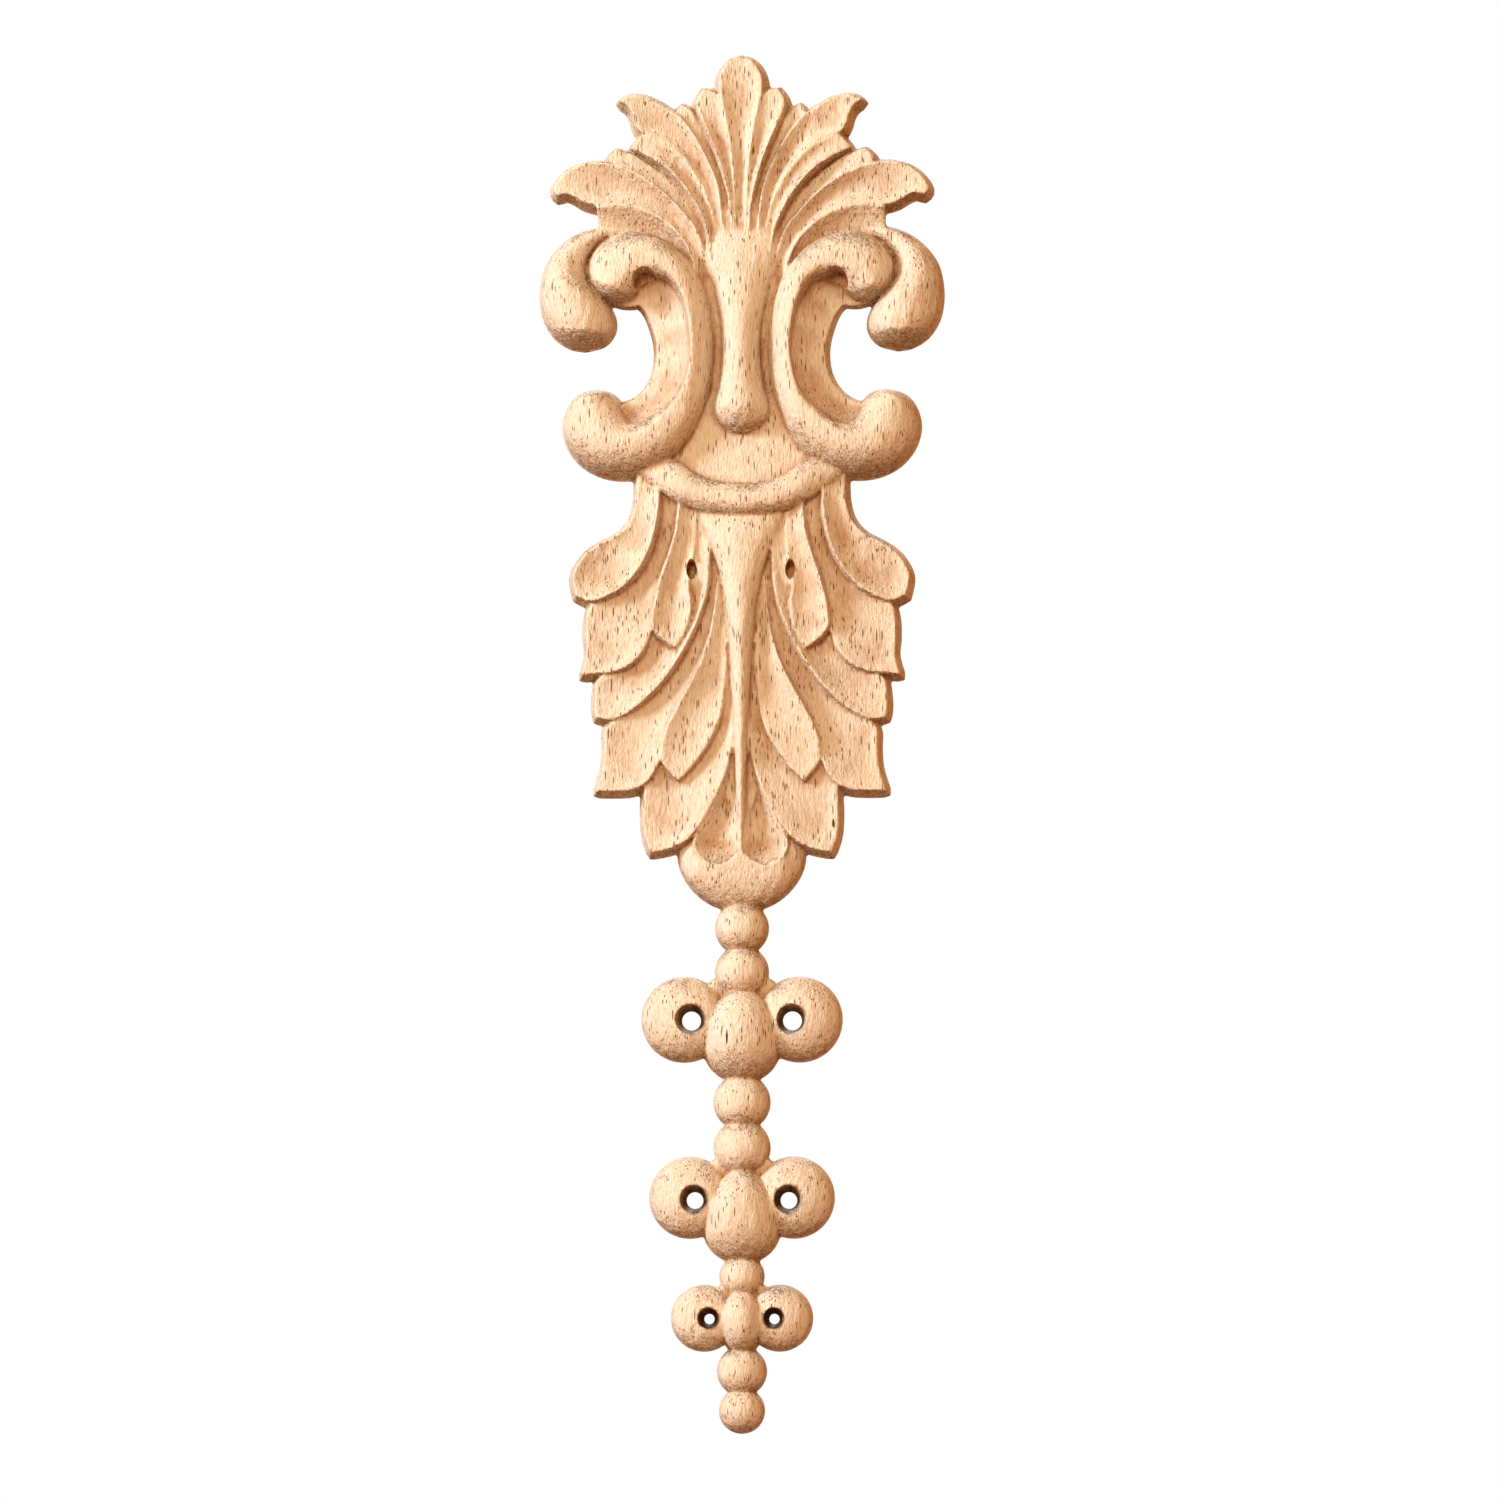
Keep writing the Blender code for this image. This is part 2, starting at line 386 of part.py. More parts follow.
def dome(name, x, z, radius_x, radius_z, height, wall, belly=0.0):
    """A low upright wall in an ellipse or egg outline, with a rounded top over it."""
    turn = np.linspace(0, 2 * math.pi, DOME_SIDES, endpoint=False)
    rise = np.linspace(0, math.pi / 2, DOME_RINGS + 1)[:-1]
    outline = np.column_stack([radius_x * np.sin(turn) * (1 - belly * np.cos(turn)), radius_z * np.cos(turn)])
    rings = [(1 + DRAFT * (wall + BEHIND) / radius_x, BEHIND)]
    rings += [(math.cos(r), -(wall + (height - wall) * math.sin(r))) for r in rise]
    points = [(x + scale * across, y, z + scale * up) for scale, y in rings for across, up in outline]
    points.append((x, -height, z))
    faces = [tuple(range(DOME_SIDES))]
    for ring in range(len(rings) - 1):
        for k in range(DOME_SIDES):
            a, b = ring * DOME_SIDES + k, ring * DOME_SIDES + (k + 1) % DOME_SIDES
            faces.append((a, b, b + DOME_SIDES, a + DOME_SIDES))
    last = (len(rings) - 1) * DOME_SIDES
    faces += [(last + k, last + (k + 1) % DOME_SIDES, len(points) - 1) for k in range(DOME_SIDES)]
    return mesh_object(name, points, faces)


def slab(name, edge, height):
    """A flat ground of one height, between a half outline and its mirror image."""
    rows = rows_for(edge, edge)
    far = smooth_curve(edge, rows)
    near = far * np.array([-1.0, 1.0])
    return walled_solid(name, near, far, np.linspace(0, 1, 2), np.full((rows, 2), height))


def tapered_drill(name, x, z, radius_x, radius_z, front, back, back_share):
    """A tapered cutter from one height down to another, narrower at the back."""
    turn = np.linspace(0, 2 * math.pi, DOME_SIDES, endpoint=False)
    outline = np.column_stack([radius_x * np.sin(turn), radius_z * np.cos(turn)])
    ends = ((1.0, -front), (back_share, -back))
    points = [(x + scale * across, y, z + scale * up) for scale, y in ends for across, up in outline]
    faces = [tuple(range(DOME_SIDES)), tuple(range(DOME_SIDES, 2 * DOME_SIDES))]
    for k in range(DOME_SIDES):
        after = (k + 1) % DOME_SIDES
        faces.append((k, after, after + DOME_SIDES, k + DOME_SIDES))
    return mesh_object(name, points, faces)


def both_sides(maker, name, spec):
    """The same shape on the right and, mirrored, on the left."""
    right = dict(spec)
    left = dict(spec)
    for key in ("near", "far"):
        if key in spec:
            left[key] = mirrored(spec[key])
    if "x" in spec:
        left["x"] = -spec["x"]
    return [maker(name + "_right", **right), maker(name + "_left", **left)]


def crown():
    """The fan: the top leaf on the axis, then every lobe on both sides."""
    made = [dished_lobe("top_leaf", mirrored(TOP_LEAF_EDGE), TOP_LEAF_EDGE, TOP_LEAF_HEIGHT, TOP_LEAF_HEIGHT,
                        TOP_LEAF_DISH)]
    for name, spec in FAN_LOBES.items():
        made += both_sides(dished_lobe, name, spec)
    return made


def scrolls():
    made = both_sides(round_roll, "scroll_roll", SCROLL_ROLL)
    made += both_sides(dished_lobe, "scroll_channel", SCROLL_CHANNEL)
    made += both_sides(round_roll, "volute_roll", VOLUTE_ROLL)
    made += both_sides(dome, "web", WEB)
    return made


def middle():
    stem = round_roll("stem", mirrored(STEM_EDGE), STEM_EDGE, STEM_SIDE, STEM_SIDE, STEM_CREST,
                      full_width=STEM_FULL_WIDTH)
    return [stem, round_roll("collar", **COLLAR), dome("apron", **APRON)]


def hanging_leaf():
    made = [round_roll("spine", mirrored(SPINE_EDGE), SPINE_EDGE, SPINE_SIDE, SPINE_SIDE, SPINE_CREST)]
    for name, spec in DROP_LOBES.items():
        made += both_sides(dished_lobe, name, spec)
    made.append(slab("bed", BED_EDGE, BED_HEIGHT))
    made.append(half_dome("boss", BOSS_UPPER, BOSS_LOWER, BOSS_TOP, BOSS_SIDE))
    return made


def berry_and_fill(number, berry):
    """A pair of berries, and the small fills above them."""
    body = dict(x=berry["x"], z=berry["z"], radius_x=berry["radius"], radius_z=berry["radius"],
                height=berry["height"], wall=BEAD_WALL)
    fill = dict(NOOK, x=NOOK_ACROSS * berry["x"], z=berry["z"] + NOOK_UP * berry["radius"])
    return both_sides(dome, f"berry_{number}", body) + both_sides(dome, f"fill_{number}", fill)


def bead_string():
    made = []
    for number, (z, radius, height) in enumerate(ROUND_BEADS, start=1):
        made.append(dome(f"bead_{number}", 0.0, z, radius, radius, height, BEAD_WALL))
    for number, egg in enumerate(EGGS, start=1):
        made.append(dome(f"egg_{number}", wall=BEAD_WALL, **egg))
    for number, berry in enumerate(BERRIES, start=1):
        made += berry_and_fill(number, berry)
    return made


def drills():
    """Cutters for the pierced berries, the scroll eyes and the leaf eyes."""
    made = both_sides(tapered_drill, "scroll_eye_drill", SCROLL_EYE)
    made += both_sides(tapered_drill, "leaf_eye_drill", LEAF_EYE)
    for number, berry in enumerate(BERRIES, start=1):
        mouth = berry["hole_radius"] * HOLE_FLARE
        made += both_sides(tapered_drill, f"berry_drill_{number}", dict(
            x=berry["hole_x"], z=berry["hole_z"], radius_x=mouth, radius_z=mouth,
            front=berry["height"] + DRILL_AHEAD, back=-DRILL_BEYOND, back_share=berry["back_radius"] / mouth))
    return made


def back_cutter():
    """A block behind the wall face, to cut every rough shape off flat."""
    corners = [(x, y, z) for x in (-CUTTER_HALF_WIDTH, CUTTER_HALF_WIDTH) for y in (0.0, CUTTER_DEPTH)
               for z in (-CUTTER_HALF_LENGTH, CUTTER_HALF_LENGTH)]
    faces = [(0, 1, 3, 2), (4, 5, 7, 6), (0, 1, 5, 4), (2, 3, 7, 6), (0, 2, 6, 4), (1, 3, 7, 5)]
    return mesh_object("back_cutter", corners, faces)


def gather(name, members):
    """Puts helper shapes in a collection of their own, out of the render."""
    group = bpy.data.collections.new(name)
    bpy.context.scene.collection.children.link(group)
    for member in members:
        bpy.context.scene.collection.objects.unlink(member)
        group.objects.link(member)
        member.hide_render = True
        member.display_type = "WIRE"
    return group


def wood():
    finish = bpy.data.materials.new("bare_wood")
    finish.use_nodes = True
    shader = finish.node_tree.nodes["Principled BSDF"]
    shader.inputs["Base Color"].default_value = WOOD_COLOUR
    shader.inputs["Roughness"].default_value = WOOD_ROUGHNESS
    shader.inputs["Metallic"].default_value = 0.0
    return finish


def add_boolean(target, operation, group=None, other=None):
    step = target.modifiers.new(operation.lower(), "BOOLEAN")
    step.operation = operation
    step.solver = "EXACT"
    if group:
        step.operand_type = "COLLECTION"
        step.collection = group
    else:
        step.object = other


def main():
    clear_scene()
    applique = slab("carved_applique", GROUND_EDGE, GROUND_HEIGHT)
    masses = gather("carved_masses", crown() + scrolls() + middle() + hanging_leaf() + bead_string())
    holes = gather("cut_holes", drills())
    back = gather("cut_back", [back_cutter()])
    add_boolean(applique, "UNION", group=masses)
    add_boolean(applique, "DIFFERENCE", group=holes)
    add_boolean(applique, "DIFFERENCE", group=back)
    thin = applique.modifiers.new("merge_small_facets", "DECIMATE")
    thin.ratio = KEEP_SHARE
    thin.use_collapse_triangulate = True
    applique.data.materials.append(wood())


main()
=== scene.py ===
# %% [markdown]
# The carved wood applique
#
# This notebook dresses one solid, a tall carved ornament of pale wood, for a picture. The ornament is cut
# from one board, so one piece carries everything. The solid already has the right size and the right big
# forms in flat facets. What it lacks is what a cutter and a gouge leave: rounded rims, soft valleys, small
# unevenness and the pores of the wood. Sculpting these onto the solid's own triangles would keep its facets.
# So the same curves are carried through again here, much finer, and joined into one skin.

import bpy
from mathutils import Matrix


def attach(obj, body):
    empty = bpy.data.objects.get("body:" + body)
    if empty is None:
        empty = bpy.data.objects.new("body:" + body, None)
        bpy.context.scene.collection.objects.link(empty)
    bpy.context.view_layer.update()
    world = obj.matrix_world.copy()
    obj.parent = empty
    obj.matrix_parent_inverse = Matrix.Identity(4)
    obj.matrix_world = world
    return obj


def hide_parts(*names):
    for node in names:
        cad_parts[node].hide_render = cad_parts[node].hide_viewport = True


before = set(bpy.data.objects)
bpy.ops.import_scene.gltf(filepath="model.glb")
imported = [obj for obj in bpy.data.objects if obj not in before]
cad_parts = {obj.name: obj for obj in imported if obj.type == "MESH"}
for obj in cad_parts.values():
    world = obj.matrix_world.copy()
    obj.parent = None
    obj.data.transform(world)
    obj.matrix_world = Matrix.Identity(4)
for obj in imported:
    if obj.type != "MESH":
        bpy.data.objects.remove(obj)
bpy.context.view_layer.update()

# %% Helpers from Blender and numpy
import math

import bmesh
import bpy
import numpy as np

MM = 0.001  # metres in a millimetre
TAU = 2 * math.pi
print("Blender", bpy.app.version_string, "with numpy", np.__version__)

# %% [markdown]
# How finely the forms are cut
#
# A cutter follows a form in close passes. Here the passes are the rows and columns of a grid. All sizes are
# in millimetres: x to the right, z up, and heights measured forward from the flat back face. The side walls
# lean out towards the back by ten degrees, as a cutter with a slight taper leaves them. Rows much closer
# than the cells of the later skin would add nothing to it, so they are about twice as wide as a cell.

# %% Finenesses
DRAFT = math.tan(math.radians(10.0))
BEHIND = 1.5  # how far the rough forms run past the back face before it is cut flat
ROW_STEP = 0.8
FEWEST_ROWS = 8
COLUMN_COUNT = 22
CURVE_SAMPLES = 24  # places on a curve between two of its points, before it is read again at even steps
TOUCHING = 1e-6  # two ends closer than this meet in a tip
print("a wall 10 mm high leans out by", round(10 * DRAFT, 2), "mm")

# %% [markdown]
# Curves and strips
#
# A carver marks a few points of an outline and joins them by eye. A Catmull-Rom curve does the same: it
# passes through every point that it is given, where a Bezier curve would need handles beside each of them.
# Two such curves, the near and the far edge, make a strip. Any long form here is that strip lifted to its
# carved height, with leaning walls down past the back face, so that it is a closed shell.

# %% Curve helpers
def smooth_curve(points, count):
    """Catmull-Rom curve, read again at even steps along its length. Between two points b and c, with a
    before and d after them: p(t) = b + t/2 (c - a + t (2a - 5b + 4c - d + t (3b - a - 3c + d)))."""
    knots = np.asarray(points, float)
    ends = np.vstack([2 * knots[0] - knots[1], knots, 2 * knots[-1] - knots[-2]])
    place = np.linspace(0, len(knots) - 1, CURVE_SAMPLES * (len(knots) - 1) + 1)
    index = np.minimum(place.astype(int), len(knots) - 2)
    part = (place - index)[:, None]
    a, b, c, d = (ends[index + k] for k in range(4))
    path = b + 0.5 * part * (c - a + part * (2 * a - 5 * b + 4 * c - d + part * (3 * b - a - 3 * c + d)))
    travel = np.concatenate([[0.0], np.cumsum(np.linalg.norm(np.diff(path, axis=0), axis=1))])
    wanted = np.linspace(0, travel[-1], count)
    return np.column_stack([np.interp(wanted, travel, path[:, k]) for k in range(2)])


def levels(values, share):
    """Values read along a length: between two of them the change eases in and out as 3t^2 - 2t^3."""
    values = np.asarray(values, float)
    place = share * (len(values) - 1)
    index = np.minimum(place.astype(int), len(values) - 2)
    part = place - index
    part = part * part * (3 - 2 * part)
    return values[index] * (1 - part) + values[index + 1] * part


def rows_for(near, far):
    """Rows along a strip: the longer edge's length over the row step."""
    edges = [np.asarray(edge, float) for edge in (near, far)]
    length = max(np.linalg.norm(np.diff(edge, axis=0), axis=1).sum() for edge in edges)
    return max(FEWEST_ROWS, int(round(length / ROW_STEP)) + 1)


def mirrored(points):
    """The same points on the other side of the axis: (-x, z)."""
    return [(-x, z) for x, z in points]


trial_arch = [(0, 0), (10, 5), (20, 0)]
print("a trial arch at five even steps:", smooth_curve(trial_arch, 5).round(2).tolist())

# %% Closed shell of a strip
def outward(edge, other):
    """Unit directions square to an edge in plan, on the side away from the other edge."""
    along = np.gradient(edge, axis=0)
    away = np.column_stack([along[:, 1], -along[:, 0]])
    away /= np.linalg.norm(away, axis=1)[:, None]
    return away if np.sum(away * (edge - other)) >= 0 else -away


def grid_faces(rows, columns):
    """Quads of a grid: corners i, i + 1 in this row and the same two in the next row."""
    corner = (np.arange(rows - 1)[:, None] * columns + np.arange(columns - 1)[None, :]).ravel()
    return np.stack([corner, corner + 1, corner + columns + 1, corner + columns], axis=1)


def strip_shell(near, far, across, height):
    """Top: near + (far - near) * across, lifted to the height. Each edge's wall then runs to a foot that
    stands off by draft * (height + overrun). Rows go round the section: foot, top columns, foot, and
    the first foot again."""
    rows, columns = height.shape
    middle = (near + far) / 2
    outer = {0: middle[0] - middle[1], -1: middle[-1] - middle[-2]}
    meets = [end for end in (0, -1) if np.linalg.norm(near[end] - far[end]) < TOUCHING]
    for end in meets:
        height[end] = height[end].mean()
    plan = near[:, None, :] + (far - near)[:, None, :] * across[None, :, None]
    feet = []
    for edge, other, column in ((near, far, 0), (far, near, -1)):
        away = outward(edge, other)
        for end in meets:
            away[end] = outer[end] / np.linalg.norm(outer[end])
        feet.append(edge + away * (DRAFT * (height[:, column] + BEHIND))[:, None])
    section_plan = np.concatenate([feet[0][:, None], plan, feet[1][:, None], feet[0][:, None]], axis=1)
    behind = np.full((rows, 1), -BEHIND)
    section_height = np.concatenate([behind, height, behind, behind], axis=1)
    points = np.stack([section_plan[..., 0], -section_height, section_plan[..., 1]], axis=-1).reshape(-1, 3)
    ring = columns + 3
    faces = [tuple(face) for face in grid_faces(rows, ring).tolist()]
    faces += [tuple(range(ring - 1)), tuple(range((rows - 1) * ring, rows * ring - 1))]
    return points, faces


print("faces in a grid of 3 by 3 points:", len(grid_faces(3, 3)))

# %% [markdown]
# The leaf fan on top
#
# On the real ornament a fan of lobes springs from the stem. Each lobe is a hollow between two raised edges
# that meet at a tip, as one pass of a round cutter leaves it. It could be sculpted by hand, but then no
# number would say how deep it is. So a lobe is a strip whose height runs straight from rim to rim, less a
# parabola for the hollow. Only the right half is written down, because the left half is its mirror image.
# Heights and hollows are read along the strip from root to tip, like the points of its edges.

# %% Dished lobes
RIM_RADIUS = 0.6  # rounding worked along the raised rim of a leaf
RIM_CUT = 0.6  # the share of a full quarter circle that is really taken off there
EDGE_TO_EDGE = 0.5 - 0.5 * np.cos(np.linspace(0, math.pi, COLUMN_COUNT + 1))  # columns, closer at both edges


def dished_lobe(near, far, near_height, far_height, dish):
    """Height = straight line from rim to rim - 4 dish v (1 - v) - rounding. The rounding is a part of a
    quarter circle of the rim's radius, over the last part of the width at each edge."""
    rows = rows_for(near, far)
    share = np.linspace(0, 1, rows)
    across = EDGE_TO_EDGE
    near_path, far_path = smooth_curve(near, rows), smooth_curve(far, rows)
    width = np.linalg.norm(near_path - far_path, axis=1)[:, None]
    rim = levels(near_height, share)[:, None] * (1 - across) + levels(far_height, share)[:, None] * across
    inset = np.minimum(across, 1 - across) * width / RIM_RADIUS
    rounding = RIM_RADIUS * (1 - np.sqrt(1 - (1 - np.clip(inset, 0, 1)) ** 2))
    height = rim - levels(dish, share)[:, None] * 4 * across * (1 - across) - RIM_CUT * rounding
    return strip_shell(near_path, far_path, across, height)


def both_sides(maker, spec):
    """The shell as written, and the shell of the mirrored curves."""
    left = dict(spec)
    for key in ("near", "far"):
        if key in spec:
            left[key] = mirrored(spec[key])
    if "x" in spec:
        left["x"] = -spec["x"]
    return [maker(**spec), maker(**left)]


print("columns across a lobe:", len(EDGE_TO_EDGE))

# %% Lobes of the fan
FAN_LOBES = {
    "shoulder_leaflet": dict(
        near=[(1.0, 120), (1.3, 135), (1.9, 143), (2.8, 150), (4.0, 156), (5.3, 161), (6.8, 163.2),
              (9.4, 163.8)],
        far=[(1.9, 120), (2.5, 133), (3.8, 140), (5.9, 147), (8.4, 153), (10.4, 157.5), (11.0, 160.8),
             (9.4, 163.8)],
        near_height=(10.2, 10.8, 10.0, 9.0), far_height=(10.2, 12.0, 11.4, 9.0), dish=(0.0, 1.2, 2.0, 0.0)),
    "sliver": dict(
        near=[(2.4, 120), (4.2, 138), (7.4, 148), (10.6, 155), (12.6, 158.6), (14.8, 160.2)],
        far=[(4.4, 120), (5.6, 137), (9.2, 146.6), (12.8, 153.4), (16.0, 157.8), (14.8, 160.2)],
        near_height=(10.2, 7.4, 6.6, 7.4), far_height=(10.2, 9.6, 9.0, 7.4), dish=(0.0, 0.3, 0.3, 0.0)),
    "upper_curl": dict(
        near=[(3.6, 120), (5.4, 137.5), (8.4, 146), (12.0, 152.6), (15.2, 156.8), (17.4, 158.2),
              (20.5, 160.3), (24.0, 161.9), (27.5, 162.3), (30.4, 161.0)],
        far=[(5.6, 120), (7.8, 135), (11.6, 142.8), (16.2, 148.4), (21.0, 151.6), (25.0, 153.0),
             (26.4, 155.0), (27.0, 157.2), (28.2, 159.4), (30.4, 161.0)],
        near_height=(10.0, 11.4, 9.8, 8.8, 9.0), far_height=(9.6, 9.8, 9.4, 9.0, 9.0),
        dish=(0.0, 1.4, 2.4, 1.4, 0.0)),
    "upper_leaflet": dict(
        near=[(4.8, 118), (7.4, 133.5), (11.2, 141.8), (16.0, 147.8), (21.0, 151.0), (24.4, 152.2),
              (27.6, 149.0)],
        far=[(6.8, 116), (8.2, 127), (10.2, 132.4), (12.8, 137.0), (15.8, 140.9), (19.4, 144.3),
             (23.4, 146.9), (27.6, 149.0)],
        near_height=(9.6, 10.2, 9.6, 8.4), far_height=(9.4, 12.2, 11.8, 8.4), dish=(0.0, 1.8, 2.2, 0.0)),
    "middle_leaflet": dict(
        near=[(6.0, 119), (8.8, 129), (12.8, 135.8), (17.8, 141.0), (23.0, 144.9), (27.4, 147.6),
              (31.3, 148.9)],
        far=[(8.0, 117), (11.0, 126.6), (15.6, 133.4), (20.8, 138.8), (26.4, 142.8), (31.0, 144.9),
             (33.4, 146.4), (31.3, 148.9)],
        near_height=(8.8, 7.2, 6.6, 7.4), far_height=(8.2, 9.2, 9.0, 7.4), dish=(0.0, 0.3, 0.3, 0.0)),
    "lower_curl": dict(
        near=[(6.2, 110), (10.4, 126.4), (15.0, 133.2), (20.4, 138.6), (26.0, 142.4), (31.0, 144.6),
              (35.0, 145.4), (39.0, 145.2), (42.6, 143.9), (45.4, 141.6), (47.0, 138.8), (46.0, 137.0)],
        far=[(8.6, 108), (12.6, 122.0), (17.6, 129.0), (23.6, 133.0), (29.6, 134.8), (35.4, 134.5),
             (38.8, 135.2), (41.6, 136.8), (43.8, 137.6), (46.0, 137.0)],
        near_height=(4.6, 10.8, 9.8, 8.6, 8.2), far_height=(4.6, 10.4, 9.8, 8.8, 8.2),
        dish=(0.0, 1.8, 2.4, 1.8, 0.0)),
    "scroll_shoulder": dict(
        near=[(7.6, 108), (12.4, 122.0), (17.4, 128.8), (23.4, 132.9), (29.6, 134.7), (36.0, 134.2)],
        far=[(10.6, 106), (14.6, 118.0), (19.4, 123.2), (25.0, 126.0), (30.4, 127.0), (36.0, 127.0)],
        near_height=(4.4, 9.2, 9.6, 9.2), far_height=(4.4, 6.2, 6.4, 6.4), dish=(0.0, 1.0, 1.0, 0.8)),
}
TOP_LEAF_EDGE = [(1.6, 118), (1.5, 134), (2.1, 144), (3.2, 152.6), (4.6, 159.4), (5.3, 163.4), (5.2, 166.6),
                 (4.1, 169.4), (2.2, 171.2), (0.0, 172.0)]
TOP_LEAF_HEIGHT = (10.4, 11.2, 10.8, 10.2, 9.0)
TOP_LEAF_DISH = (0.0, 1.8, 2.4, 2.4, 0.0)
print("lobes on one side of the fan:", len(FAN_LOBES))

# %% Shells of the fan
top_leaf = dict(near=mirrored(TOP_LEAF_EDGE), far=TOP_LEAF_EDGE, near_height=TOP_LEAF_HEIGHT,
                far_height=TOP_LEAF_HEIGHT, dish=TOP_LEAF_DISH)
shells = [dished_lobe(**top_leaf)]
for lobe in FAN_LOBES.values():
    shells += both_sides(dished_lobe, lobe)
print("shells of the fan:", len(shells))

# %% [markdown]
# The hanging leaf
#
# Below the collar hangs a leaf whose lobes overlap like tiles: the upper ones stand higher, and each falls
# away to the trench of the next. Cutting real gaps between the lobes would be slow, and on the real piece
# there are none. So each lobe is again a dished strip with its own heights, and they overlap. The pointed
# lobe in the middle starts at a small slot, the eye, which is drilled further on.

